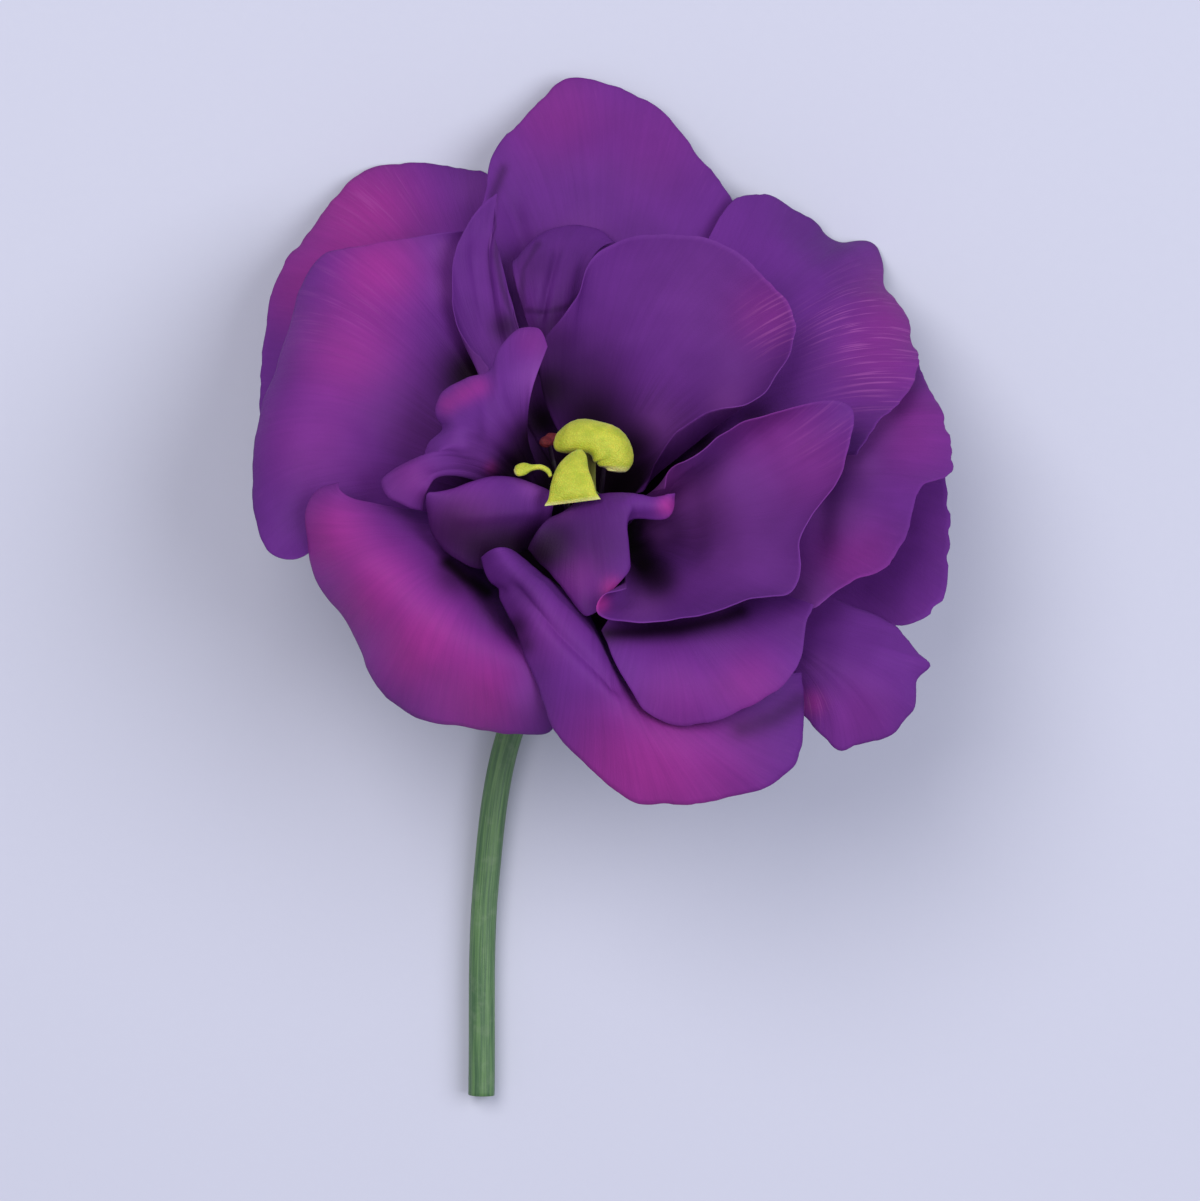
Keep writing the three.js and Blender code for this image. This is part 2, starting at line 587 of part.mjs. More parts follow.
const blossom = new THREE.Group();
blossom.name = 'lisianthus_blossom';
meshes.forEach((mesh) => blossom.add(mesh));

export default blossom;
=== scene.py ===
import math

import bpy
import numpy as np
from mathutils import Matrix, Vector


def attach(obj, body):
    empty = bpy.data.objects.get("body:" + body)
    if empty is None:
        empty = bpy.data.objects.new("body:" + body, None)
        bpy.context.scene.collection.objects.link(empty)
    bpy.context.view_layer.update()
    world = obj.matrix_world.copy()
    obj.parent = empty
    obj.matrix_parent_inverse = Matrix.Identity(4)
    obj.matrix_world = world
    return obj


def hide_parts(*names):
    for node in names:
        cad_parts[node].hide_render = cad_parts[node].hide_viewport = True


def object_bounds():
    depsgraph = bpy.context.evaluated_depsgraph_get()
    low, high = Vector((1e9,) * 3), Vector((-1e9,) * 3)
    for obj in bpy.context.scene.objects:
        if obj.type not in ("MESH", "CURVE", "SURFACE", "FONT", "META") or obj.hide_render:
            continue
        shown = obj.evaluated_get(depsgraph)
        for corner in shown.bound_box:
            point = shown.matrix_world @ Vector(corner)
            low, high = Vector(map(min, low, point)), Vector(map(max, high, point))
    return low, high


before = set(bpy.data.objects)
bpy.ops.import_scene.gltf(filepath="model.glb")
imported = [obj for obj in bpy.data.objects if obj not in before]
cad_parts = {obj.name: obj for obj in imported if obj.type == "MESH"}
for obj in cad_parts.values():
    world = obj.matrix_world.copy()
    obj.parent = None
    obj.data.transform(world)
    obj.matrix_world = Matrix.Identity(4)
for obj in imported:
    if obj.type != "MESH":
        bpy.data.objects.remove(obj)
cad_low, cad_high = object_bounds()

# One double lisianthus blossom with its stalk, lying on its back on a pale floor.
# Lengths are in millimetres and angles in degrees until a mesh is made; meshes are in metres.
#
# Petals are drawn in the face frame: x to the right, y up and z towards someone who looks into
# the bloom, with the receptacle at the origin. A petal point is (x, y, height), where height is
# measured from the receptacle along the flower's own axis, which leans FACE_TILT from z.

MM = 0.001
FACE_TILT = 24
REST_PITCH = 3.6
RECEPTACLE_AT = (-1.291, 5.617, 8.741)
BELLY_AT = 0.65
SPLINE_POWER = 0.75

RING_OUTERMOST = 6.6
RING_OUTER = 5.8
RING_MIDDLE = 5.0
RING_INNER = 4.2
RING_INNERMOST = 3.4

CLAW_THICKNESS = 0.44
RIM_THICKNESS = 0.13
PETAL_CELL = 0.5
CREASED_CELL = 0.28
ROUGH_GRID = (24, 40)
ROWS_RANGE = (30, 140)
COLUMNS_RANGE = (30, 150)
SPOT_SHARPNESS = 1.15

SEAT_GAP = 0.3
RECEPTACLE_RADIUS = 7.2
RECEPTACLE_DEPTH = 4.4
PEDICEL_DIAMETER = 3.3
SEPAL_THICKNESS = 0.5
SEPAL_EDGE = 0.16
SEPAL_WIDTH = 6
SEPAL_KEEL = 1.1
FILAMENT_DIAMETER = 0.6
ANTHER_LENGTH = 3.2
ANTHER_WIDTH = 1.5
ANTHER_TILT = 55

# Waves of a surface: how far they stand out and their wavelength.
RUFFLE = (0.42, 4.5)
FINE_RUFFLE = (0.2, 2.1)
SWELL = (0.35, 8.0)
CRINKLE = (0.07, 2.2)
RIB = (0.03, 1.3)
BITE = (0.3, 1.7)
TOOTH = (0.16, 0.8)
SEPAL_WAVE = (0.16, 3.5)
SEPAL_RIPPLE = (0.05, 1.6)
NOISE_LENGTH = 512
NOISE_SIDE = 64

# Camera: a long lens above the bloom, looking into it as the photograph does.
CAMERA_BACK = (0, 0.063, 0.998)
CAMERA_LENS = 250
SENSOR = 36
FRAME_HEIGHT = 136

# Each light: its direction from the bloom, distance and width in metres, power in watts, colour.
LIGHTS = {
    "key": ((-0.32, 0.36, 0.88), 0.8, 0.55, 3.5, (1.0, 0.97, 0.95)),
    "fill": ((0.6, 0.1, 0.8), 0.9, 0.7, 4.7, (0.95, 0.96, 1.0)),
}
LIGHTS_AIM = (0, 0, 0.02)
FLOOR_HALF = 3.0

# Each petal, with places (x, y) as seen from the front:
# ring, azimuth, claw: the ring that its claw stands on, and the claw's direction and width as angles
#   about the axis;
# rise, spread: how far it rises and spreads above the ring, or that at its first and last edge;
# rim: petal points along its free edge, from the first edge to the last;
# belly: petal points along the line that the blade passes through below the rim;
# frill, cell: how strongly the free edge is frilled, and the size of a mesh cell;
# folds: the two ends of a fold, its half-width and how far it stands out towards the front;
# crease_shade: the points of a thin line of painted shade along a crease, its half-width and strength;
# magenta_and_highlight, painted_shade, lift, streak: spots that glow magenta, mostly as a painted
#   highlight where light falls and partly as the petal's own magenta marks; spots of painted shade in
#   crevices and towards the throat; spots of painted light, paler and free of the dark of the throat;
#   and spots that show pale streaks, each with the spot's x and y, radius and strength.
PETALS = {
    "petal_top": dict(
        ring=RING_OUTER, azimuth=93, claw=38, rise=16, spread=3, frill=0.6,
        rim=[(-13, 35, 18), (-12, 40, 18), (-11, 44.5, 18.2), (-7.5, 49, 18.5), (-2.2, 53.5, 19),
             (0.5, 53.2, 19), (7.5, 50.5, 18), (13, 44, 16), (17, 38.5, 14.2), (19, 34, 13.5)],
        belly=[(-9.2, 25.5, 15.2), (1, 36, 17.5), (13, 26, 15.5)],
        folds=[((-10, 45), (11, 43.5), 3.2, 0.6), ((-9, 40), (-6.5, 30), 1.2, -0.6)],
        crease_shade=[(((-11.5, 36), (-11, 40), (-9.8, 43)), 0.6, 0.5)],
        magenta_and_highlight=[(-4, 50, 6, 0.3), (8, 47, 7, 0.15)],
        lift=[(-8.8, 31, 1.4, 0.5), (-1, 36, 3, 0.25)],
    ),
    "petal_upper_left": dict(
        ring=RING_OUTER, azimuth=137, claw=37, rise=(10, 13), spread=5.5, frill=0.6,
        rim=[(-9.5, 40.5, 12.5), (-12.5, 43, 12.5), (-17.5, 43.8, 12.5), (-25.5, 43.2, 12.8),
             (-28.8, 40.5, 13), (-31.5, 36.8, 13.5), (-34.5, 32.5, 14), (-36.5, 27.5, 15),
             (-37.2, 22.5, 15.5), (-37.5, 17.5, 16), (-37, 11, 16)],
        belly=[(-8, 28, 11.5), (-17, 28, 17.5), (-23.8, 11.2, 17)],
        folds=[((-30, 38), (-20, 26), 2.6, 0.5), ((-21, 43), (-15, 34), 2.0, -0.5)],
        magenta_and_highlight=[(-26, 38, 7, 0.8), (-32, 30, 6, 0.5)],
        lift=[(-13.5, 41, 2.4, 0.4)],
        streak=[(-24, 40, 5, 0.35)],
    ),
    "petal_left": dict(
        ring=RING_MIDDLE, azimuth=158, claw=57, rise=(12, 14), spread=(3.6, 5),
        rim=[(-13.2, 35.5, 24), (-17.5, 35, 24), (-26.2, 33.8, 23), (-30, 32.5, 22), (-32.5, 28.8, 21.5),
             (-34.2, 23.8, 21), (-36.2, 17.5, 20.5), (-37.8, 12.5, 20.5), (-38.2, 7.5, 20.5),
             (-37.5, 2.5, 20.5), (-35.8, -1, 21), (-33, -1.8, 22), (-31, -0.5, 22.5)],
        belly=[(-10.5, 27, 17.5), (-23, 21, 24), (-26, 9, 23), (-22, 2.5, 18)],
        folds=[((-27, 14), (-17, 9), 1.8, -0.5), ((-30, 27), (-18, 18), 3.0, 0.5)],
        magenta_and_highlight=[(-24, 31, 5, 0.7), (-27, 22, 6, 0.5), (-31, 12, 6, 0.2)],
        painted_shade=[(-13.6, 19.4, 3.0, 1.0), (-12.6, 17.4, 4, 1.0), (-5.5, 7, 3, 1.0)],
        lift=[(-20.5, 13.5, 4.6, 0.45), (-16.4, 33, 1.8, 0.5), (-16.4, 29, 1.8, 0.5),
              (-33.5, 24, 4.5, 0.25)],
        streak=[(-28, 27, 6, 0.3)],
    ),
    "petal_fold": dict(
        ring=RING_INNER, azimuth=120, claw=32, rise=12, spread=2.4, cell=CREASED_CELL,
        rim=[(-11.3, 19.8, 19.3), (-13.8, 23, 21.4), (-15.2, 28, 23.4), (-15.4, 32, 24.6),
             (-14, 36, 25.6), (-12, 38.6, 25.8), (-10.6, 39.6, 25.6), (-10.4, 34.5, 24.5),
             (-9.4, 30, 22.5), (-7.6, 24.5, 20)],
        belly=[(-10.2, 13.8, 14.6), (-10.8, 22, 18.4), (-5, 17.6, 15.6)],
        folds=[((-11.2, 36), (-8.5, 22), 0.8, 0.55), ((-13.2, 34), (-11.5, 23), 1.0, -0.4)],
        crease_shade=[(((-10.3, 37), (-10.5, 32.7), (-9.9, 29.5), (-8.4, 24.5)), 0.4, 0.5)],
        painted_shade=[(-6, 20, 3.5, 0.5), (-5.4, 14, 3.6, 1.0), (-9.4, 24.6, 1.8, 0.7)],
    ),
    "petal_inner_top": dict(
        ring=RING_INNER, azimuth=62, claw=70, rise=15, spread=2.4,
        rim=[(-5.5, 22.5, 22), (-1.2, 28, 26.5), (0.8, 32, 28.5), (5, 34.5, 29.5), (10, 34.8, 29.5),
             (13.8, 34.2, 29), (17, 32.5, 28.5), (20, 30, 28), (22.5, 27, 27.5), (23.2, 24.5, 27),
             (22.8, 21.8, 27), (21.4, 19, 26.5), (20, 16.8, 26), (18, 15.4, 25.5), (13.8, 14.4, 23.5),
             (9.8, 12.3, 20), (7.4, 8.8, 15)],
        belly=[(-4.5, 15, 16.5), (1.5, 22, 19.5), (9, 22.5, 19.5), (15.2, 16.2, 18), (6, 6, 10)],
        folds=[((3, 32), (4, 18), 2.6, 0.4), ((14, 33), (9, 18), 2.8, -0.4)],
        magenta_and_highlight=[(20, 26, 4, 0.3)],
        painted_shade=[(-4.8, 17.5, 3.2, 0.9), (0.4, 14, 4.8, 0.95), (4.8, 10.8, 3.4, 0.95), (-1, 19, 5.5, 0.45),
               (-4, 23, 2.6, 0.4)],
        lift=[(8, 13, 3, 0.7), (13, 29, 8, 0.4), (18, 19, 4, 0.4), (16, 15.4, 2.4, 0.8)],
        streak=[(22, 25, 4, 0.8)],
    ),
    "petal_upper_right": dict(
        ring=RING_MIDDLE, azimuth=40, claw=40, rise=(15, 12), spread=(3.2, 3.8), frill=1.0,
        rim=[(15, 37.3, 16.8), (17, 39.5, 16), (21.2, 40, 14.5), (23.8, 38.5, 13), (26.2, 36.8, 11),
             (28.8, 34.8, 9.2), (32.5, 34.2, 8), (33.5, 32.5, 8.2), (33.8, 29.5, 10), (35.5, 27.5, 12),
             (36.8, 24.5, 14), (37.2, 21.2, 16.5), (37, 18.8, 18.5), (35, 15.5, 20.5), (32.5, 12.5, 22),
             (30.5, 9.5, 22.5)],
        belly=[(9.5, 25.5, 17), (21.5, 25.5, 19.5), (20, 9, 15.5)],
        folds=[((22, 38), (17, 24), 2.4, 0.5), ((29, 33), (22, 21), 2.0, -0.5)],
        magenta_and_highlight=[(34, 22, 6, 0.3), (36, 29, 5, 0.3)],
        painted_shade=[(9, 8.4, 4, 1.0), (13, 11.4, 2.4, 0.9), (19, 14, 2, 0.6)],
        streak=[(32, 24, 6, 1.0), (34, 17, 4, 0.6)],
    ),
    "petal_inner_right": dict(
        ring=RING_INNER, azimuth=-22, claw=80, rise=(8, 15), spread=2.4,
        rim=[(8.8, 6.2, 18), (9.2, 8, 20.5), (11.2, 9.2, 23), (15, 12, 26), (18.8, 13.8, 27.5),
             (23.8, 15.2, 28), (27.5, 15.8, 28), (29.5, 15, 27.5), (29, 11.2, 27.5), (27.5, 6.8, 28),
             (25.5, 4.2, 28.5), (23.2, 0, 29), (23.5, -2.5, 29), (22.5, -5, 29.5), (20, -5.8, 30),
             (15, -7.2, 30.5), (10, -8.2, 31), (4.5, -8.6, 31), (1.2, -7.6, 31), (1.8, -6.2, 31),
             (4.2, -5.2, 30)],
        belly=[(6.5, 5, 12), (14.8, 9, 19), (19, 4.5, 20), (15, -2, 20), (7, -5.5, 20), (3.8, -2.5, 18)],
        folds=[((11.5, 8), (11.8, -4), 2.0, -0.8), ((16.5, 10), (18, -4), 2.6, 0.5)],
        magenta_and_highlight=[(20, 13, 6, 0.25), (26, 8, 5, 0.2), (9, 7, 3, 0.4), (1.2, -6.8, 1.1, 1.0)],
        painted_shade=[(5.4, -0.6, 2.0, 0.95), (6.2, -2.8, 2.7, 1.0), (8, -4.4, 2.2, 0.75)],
        lift=[(12.4, 6.6, 4.8, 1.0), (8, 1, 1.8, 0.8), (6.2, -6.6, 2.6, 0.9), (18, 2, 9, 0.55)],
        streak=[(27, 13, 4, 0.4)],
    ),
    "petal_right": dict(
        ring=RING_OUTER, azimuth=-3, claw=38, rise=(11, 12), spread=4, frill=0.8,
        rim=[(36.2, 22.5, 11.5), (37.8, 20, 13.5), (39.5, 16.2, 16.5), (40.8, 11.8, 19), (40.5, 7.5, 21),
             (37.5, 6.2, 22), (36.5, 3, 22.5), (34, -2, 23), (29.5, -4.5, 23.5), (26.2, -6.5, 23.5),
             (22.5, -8, 23)],
        belly=[(23.6, 17.8, 13.5), (25, 6.3, 18), (15.4, -3, 14.8)],
        folds=[((27, 16), (25.5, -2), 1.8, -0.6)],
        magenta_and_highlight=[(37, 13, 6, 0.25), (30, -2, 5, 0.3)],
        lift=[(28, 3.5, 3, 0.9), (30.4, 9, 2.8, 1.0), (32.5, 13.5, 2.6, 0.8), (24.6, -6, 3, 0.9)],
    ),
    "petal_lower_right_back": dict(
        ring=RING_OUTERMOST, azimuth=-5, claw=28, rise=9, spread=6, frill=0.9,
        rim=[(40, 10, 13), (40.8, 3.8, 14), (40.5, -2.5, 14.5), (39.5, -7, 15), (37.5, -8.6, 15),
             (34.5, -9.4, 14), (30.5, -9.8, 13)],
        belly=[(26, 9.5, 11.5), (26.3, 2, 11), (21, -3.5, 10)],
    ),
    "petal_lower_right": dict(
        ring=RING_OUTER, azimuth=-46, claw=30, rise=(10, 11), spread=(12, 8), frill=0.7,
        rim=[(23, -18.6, 14.5), (25, -20.2, 14.5), (26.6, -21.8, 14), (28.2, -23.2, 13.5),
             (31.5, -22.4, 13.5), (34.6, -20.8, 14), (36.4, -18.6, 14.5), (36.8, -15.6, 15),
             (38.4, -13.6, 15.5), (36.6, -12, 16), (35, -9.8, 16.5), (32, -8.1, 17), (29, -7, 17.2)],
        belly=[(19.5, -12.3, 15.8), (24.5, -12, 18.4), (22.5, -4.6, 16.4)],
        magenta_and_highlight=[(30, -20, 5, 0.15), (25, -18, 1.5, 0.5)],
        lift=[(25.3, -14, 1.6, 0.4)],
        streak=[(25, -18, 2, 0.8)],
    ),
    "petal_inner_lower_right": dict(
        ring=RING_MIDDLE, azimuth=-66, claw=40, rise=(13, 12), spread=(5, 7),
        rim=[(25, -7, 26), (24.2, -9.2, 25.5), (23.5, -13, 24.5), (21.2, -16.2, 24), (17.5, -18.5, 23.5),
             (13.8, -19.8, 23.5), (10, -20.5, 23.7), (6.6, -19, 25.2), (3.9, -15, 26.8),
             (1.5, -10, 26.4)],
        belly=[(15.9, -4, 19), (8.5, -10.5, 25.5), (2.5, -7, 22)],
        crease_shade=[(((2, -10.2), (6, -10.1), (10, -9.8), (15, -8.6), (17, -7.8)), 1.1, 0.9)],
        magenta_and_highlight=[(18, -16, 4, 0.35), (10, -18, 5, 0.25)],
        lift=[(14.5, -10.6, 3, 0.3)],
    ),
    "petal_bottom": dict(
        ring=RING_OUTER, azimuth=-97, claw=46, rise=(13, 10), spread=(7, 12),
        rim=[(-12, -1.8, 27), (-11.5, -3.5, 27), (-9.5, -7, 27), (-6.5, -13.8, 26), (-3.5, -21.2, 22),
             (1, -25.8, 19), (5.5, -29.2, 17), (10, -29.2, 17), (15, -28.5, 17), (20.5, -26.8, 17),
             (23, -24.2, 17), (23.8, -21, 18), (24, -17.5, 19.2), (23.6, -14.6, 20.2)],
        belly=[(-8.5, -1, 28), (-6, -3.5, 29), (-2.5, -7.5, 29), (1.5, -12, 27), (4.5, -16, 23),
               (9, -17, 21), (14, -14, 20.5)],
        folds=[((-9, -4.5), (4, -17), 0.8, -0.7), ((-7, -3.8), (3, -12.5), 0.9, 0.5),
               ((-11.6, -5.2), (-9, -5.6), 0.5, -0.5)],
        crease_shade=[(((17, -20.8), (20.5, -19.6), (23.4, -17.8)), 1.3, 0.5)],
        magenta_and_highlight=[(5, -26, 8, 0.7), (13, -27, 7, 0.35), (-5, -10, 4, 0.1)],
        painted_shade=[(-8.5, -5.5, 3.4, 0.25), (-8, -9.4, 1.3, 0.7), (-7, -11.4, 1.1, 0.5)],
    ),
    "petal_lower_left": dict(
        ring=RING_MIDDLE, azimuth=-147, claw=44, rise=(15, 5), spread=(4, 16),
        rim=[(-28, 6.8, 27), (-30, 6, 26), (-31.8, 3, 24.5), (-31.8, -0.5, 23), (-30, -5.2, 21),
             (-27, -9.5, 19), (-25, -13, 18), (-23, -16.5, 17), (-20, -19.2, 16.5), (-16.2, -20.2, 16.5),
             (-12.5, -21, 16.5), (-7.5, -21.4, 17.4), (-4.2, -20.8, 18.2), (-4.4, -16, 20.8)],
        belly=[(-23, 4.2, 25.5), (-19, -3, 28.5), (-13.5, -8, 27.5), (-7, -11.6, 23.6)],
        folds=[((-29, 2), (-10, -18), 3.4, 0.5)],
        crease_shade=[(((-15.8, -2.4), (-14, -4), (-11.6, -5.6)), 1.1, 1.0)],
        magenta_and_highlight=[(-28.5, 1, 4.5, 0.7), (-24, -5, 5.2, 0.75), (-19, -11.5, 5.6, 0.85),
               (-13, -17, 5.6, 0.8)],
        painted_shade=[(-20, 5.4, 2, 0.6), (-12, 0, 4, 1.0), (-15, -4, 2, 0.5)],
        lift=[(-16, -18, 4.6, 0.35), (-6.4, -17, 2.6, 0.6), (-10.6, -8, 2, 0.7), (-28, -4.5, 3, 0.25),
              (-23.5, -12, 3, 0.25)],
    ),
    "petal_inner_left": dict(
        ring=RING_INNERMOST, azimuth=170, claw=60, rise=15, spread=(4, 2.5),
        rim=[(-4.6, 22, 31), (-5.6, 23.9, 31), (-7.5, 24.2, 31), (-9.8, 22.2, 31), (-11, 19.2, 30.5),
             (-13.8, 18.5, 30), (-16.5, 16.8, 30), (-17, 14.2, 30), (-16.2, 12.8, 30),
             (-17.8, 11.2, 29.5), (-18.5, 8.8, 29), (-21.2, 8.2, 28), (-23.2, 7, 28), (-22.6, 5.2, 28),
             (-20.5, 4, 28), (-18.5, 3.6, 27.5)],
        belly=[(-7, 13, 25), (-9.5, 12.2, 28.5), (-11.8, 11, 29.8), (-13.2, 9.2, 29.3),
               (-14.5, 7.4, 28)],
        folds=[((-7.6, 22), (-8.6, 12), 1.1, 0.5), ((-11.6, 18), (-11, 10), 1.0, -0.5),
               ((-15.5, 15), (-13.4, 9), 1.1, 0.5), ((-19, 8), (-15, 6), 0.9, -0.4)],
        magenta_and_highlight=[(-12.3, 17.4, 1.3, 0.45), (-14, 16.5, 1.3, 0.5), (-15.7, 15.4, 1.2, 0.45),
               (-6, 22.5, 2.5, 0.2), (-20, 7, 3, 0.2), (-10.9, 8.3, 0.8, 0.8)],
        painted_shade=[(-7.8, 9, 3.2, 1.0), (-6, 11.8, 2.6, 1.0), (-9, 7.4, 2, 0.9)],
        lift=[(-5.4, 18, 2.4, 1.0), (-13, 9, 3, 0.4), (-21, 5, 2.2, 0.5)],
    ),
    "petal_flap": dict(
        ring=RING_INNERMOST, azimuth=-137, claw=40, rise=15, spread=2,
        rim=[(-18.2, 3.4, 28.2), (-17.4, 0.6, 27.4), (-15, -1.8, 26.6), (-12, -3, 25.4),
             (-8.4, -1.6, 24.4), (-4.4, 0.2, 21.6)],
        belly=[(-15, 6, 29.2), (-11.5, 7.2, 29.5), (-8, 6.9, 28), (-3.3, 5.5, 24.4)],
        folds=[((-15, 2.6), (-5, 3.6), 0.8, 0.35)],
        magenta_and_highlight=[(-14, 3, 4, 0.15)],
        painted_shade=[(-15.6, 1.4, 3.6, 0.65), (-12, -1, 3.8, 0.8), (-8.4, -0.8, 3.4, 0.95),
               (-5.4, 0, 2.6, 0.7)],
        lift=[(-6, 6.4, 1.8, 1.0)],
    ),
    "petal_inner_bottom": dict(
        ring=RING_INNERMOST, azimuth=-85, claw=50, rise=15, spread=2,
        rim=[(9.6, 5.4, 28), (8.8, 2.8, 28), (4.5, 2.2, 27.5), (4.2, -0.5, 27.5), (4.6, -2.8, 27.4),
             (2.8, -5.2, 27), (1.2, -7.5, 26.4), (0, -8.2, 26.4), (-3.4, -4.6, 26.5),
             (-6.8, -0.8, 26.5)],
        belly=[(7, 4.2, 25.8), (4.5, 5.2, 26.8), (0, 4.6, 26), (-3.8, 2.8, 26.2)],
        folds=[((-2, 3), (2, -6), 1.2, -0.4), ((2, 3.6), (9, 4.2), 0.8, 0.3)],
        magenta_and_highlight=[(2.6, -5.2, 1.2, 0.9), (8.8, 4, 1.2, 0.8), (-1, -4, 3, 0.2)],
        painted_shade=[(-5.4, -1.4, 3, 0.95), (-3.4, 0.6, 2.8, 0.65), (1, 0, 4.4, 0.4)],
        lift=[(-3, 3.6, 1.4, 0.7)],
    ),
    "petaloid_pocket": dict(
        ring=RING_MIDDLE, azimuth=103, claw=12, rise=15, spread=2.7, cell=CREASED_CELL,
        rim=[(-8, 32, 18.6), (-6.2, 34.8, 18.8), (-3, 36, 18.9), (1, 36, 19), (3, 34.5, 19)],
        belly=[(-7.8, 27.5, 20), (-4.5, 26.8, 21), (-1, 27.8, 20.5)],
        folds=[((-3.4, 34), (-5.6, 25), 0.6, -0.7), ((-1.4, 33), (-3, 26), 0.8, 0.4)],
        crease_shade=[(((-7.3, 26.5), (-4.8, 26.2), (-2.2, 26.9), (-0.6, 28.5), (0.7, 31.7)), 0.5, 0.5),
                 (((-5.8, 34), (-7.4, 31.1), (-7.6, 28.5), (-7.4, 26.2)), 0.5, 0.45)],
        painted_shade=[(-4.5, 24, 3, 0.5), (-6.4, 31.5, 2.4, 0.3)],
    ),
}
PLAIN_FRILL = 0.4

# Each sepal: its direction about the axis, then distance from the axis and height of its tip.
SEPALS = [
    (20, (26, 10)),
    (92, (24, 9)),
    (164, (25, 10)),
    (236, (26, 11)),
    (308, (27, 11)),
]

# Rings of the stalk's cut end: how far in from the skin as a fraction, how far out along the stalk,
# and how much of the pith shows.
PEDICEL_CUT = [(0.04, 0.06, 0.15), (0.2, 0.02, 0.35), (0.45, -0.04, 0.6), (0.7, -0.1, 0.9)]

# Each stamen: direction about the axis, then distance from the axis and height of the anther.
STAMENS = [
    (138, (6.0, 19.5)),
    (68, (5.5, 18)),
    (-4, (3.4, 10.5)),
    (-76, (2.9, 15.5)),
    (-148, (2.8, 16.5)),
]

LEAN = math.radians(FACE_TILT)
AXIS = np.array([0, math.sin(LEAN), math.cos(LEAN)])
SIDE = np.array([1.0, 0, 0])
UP = np.array([0, math.cos(LEAN), -math.sin(LEAN)])


# ---- frames and curves

def face_point(point):
    """A face point (x, y, height) as a position."""
    x, y, height = point
    return np.array([x, y, (height - y * math.sin(LEAN)) / math.cos(LEAN)])


def outward(angle):
    """The outward direction at an angle about the flower's axis; angles may be an array."""
    angle = np.asarray(angle, float)[..., None]
    return np.cos(angle) * SIDE + np.sin(angle) * UP


def axis_point(azimuth, distance, height):
    """A position from a direction about the axis, a distance from the axis and a height."""
    return outward(math.radians(azimuth)) * distance + AXIS * height


def to_row(points):
    """Positions in the face frame, in millimetres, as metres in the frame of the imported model."""
    pitch = math.radians(-REST_PITCH)
    turn = np.array([
        [1, 0, 0],
        [0, math.cos(pitch), -math.sin(pitch)],
        [0, math.sin(pitch), math.cos(pitch)],
    ])
    return (points @ turn.T + np.array(RECEPTACLE_AT)) * MM


def run_along(points, power=1):
    """The distance along a line at each of its points; each step counts raised to a power."""
    steps = np.linalg.norm(np.diff(points, axis=0), axis=1)
    return np.append(0, np.cumsum(steps**power))


def spline(points):
    """A smooth curve through points, with tangents that allow for uneven spacing."""
    points = np.asarray(points, float)
    knots = run_along(points, SPLINE_POWER)
    knots = knots / knots[-1]
    steps = np.diff(knots)
    slopes = np.diff(points, axis=0) / steps[:, None]
    tangents = np.concatenate([slopes[:1], slopes[:-1], slopes[-1:]])
    before, after = steps[:-1, None], steps[1:, None]
    tangents[1:-1] = (slopes[:-1] * after + slopes[1:] * before) / (before + after)

    def at(t):
        t = np.asarray(t, float)
        i = np.clip(np.searchsorted(knots, t, side="right") - 1, 0, len(points) - 2)
        step = (knots[i + 1] - knots[i])[..., None]
        u = (t - knots[i])[..., None] / step
        return (
            points[i] * (2 * u**3 - 3 * u**2 + 1)
            + tangents[i] * (u**3 - 2 * u**2 + u) * step
            + points[i + 1] * (3 * u**2 - 2 * u**3)
            + tangents[i + 1] * (u**3 - u**2) * step
        )

    return at


def unit(vectors):
    length = np.linalg.norm(vectors, axis=-1, keepdims=True)
    return vectors / np.maximum(length, 1e-9)


def ease(u):
    return u * u * (3 - 2 * u)


def smooth(edge0, edge1, x):
    return ease(np.clip((x - edge0) / (edge1 - edge0), 0, 1))


def wander(x, seed, wave):
    """Smooth one-dimensional noise, for a wave of (height, wavelength)."""
    height, wavelength = wave
    values = np.random.default_rng(seed).uniform(-1, 1, NOISE_LENGTH)
    place = np.asarray(x) / wavelength + 100
    i = np.floor(place).astype(int)
    u = ease(place - i)
    return height * (values[i % NOISE_LENGTH] * (1 - u) + values[(i + 1) % NOISE_LENGTH] * u)


def field(grid, seed, wave):
    """Smooth two-dimensional noise, for a wave of (height, wavelength)."""
    height, wavelength = wave
    values = np.random.default_rng(seed).uniform(-1, 1, (NOISE_SIDE, NOISE_SIDE))
    px, py = grid[..., 0] / wavelength + 300, grid[..., 1] / wavelength + 300
    i, j = np.floor(px).astype(int), np.floor(py).astype(int)
    u, v = ease(px - i), ease(py - j)
    pick = lambda a, b: values[a % NOISE_SIDE, b % NOISE_SIDE]
    low = pick(i, j) * (1 - u) + pick(i + 1, j) * u
    high = pick(i, j + 1) * (1 - u) + pick(i + 1, j + 1) * u
    return height * (low * (1 - v) + high * v)


# ---- meshes

def mesh_piece(node, part, points, faces, attributes, material):
    """A piece from face-frame points, which stands for its CAD node and rides on the body."""
    name = f"{node}_{part}"
    mesh = bpy.data.meshes.new(name)
    mesh.from_pydata(to_row(points).tolist(), [], [list(map(int, face)) for face in faces])
    for key, values in attributes.items():
        values = np.asarray(values, np.float32)
        kind = "FLOAT_VECTOR" if values.ndim == 2 else "FLOAT"
        layer = mesh.attributes.new(key, kind, "POINT")
        layer.data.foreach_set("vector" if values.ndim == 2 else "value", values.ravel())
    mesh.polygons.foreach_set("use_smooth", [True] * len(mesh.polygons))
    mesh.update()
    piece = bpy.data.objects.new(name, mesh)
    bpy.context.scene.collection.objects.link(piece)
    piece.data.materials.append(material)
    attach(piece, "root")
    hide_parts(node)


def grid_normals(grid, seat=None):
    """Unit normals of a (rows, columns, 3) grid; the first row is cut square to seat."""
    along = np.gradient(grid, axis=0)
    across = np.gradient(grid, axis=1)
    normals = np.cross(along, across)
    if seat is not None:
        normals[0] -= (normals[0] @ seat)[:, None] * seat
    return unit(normals)


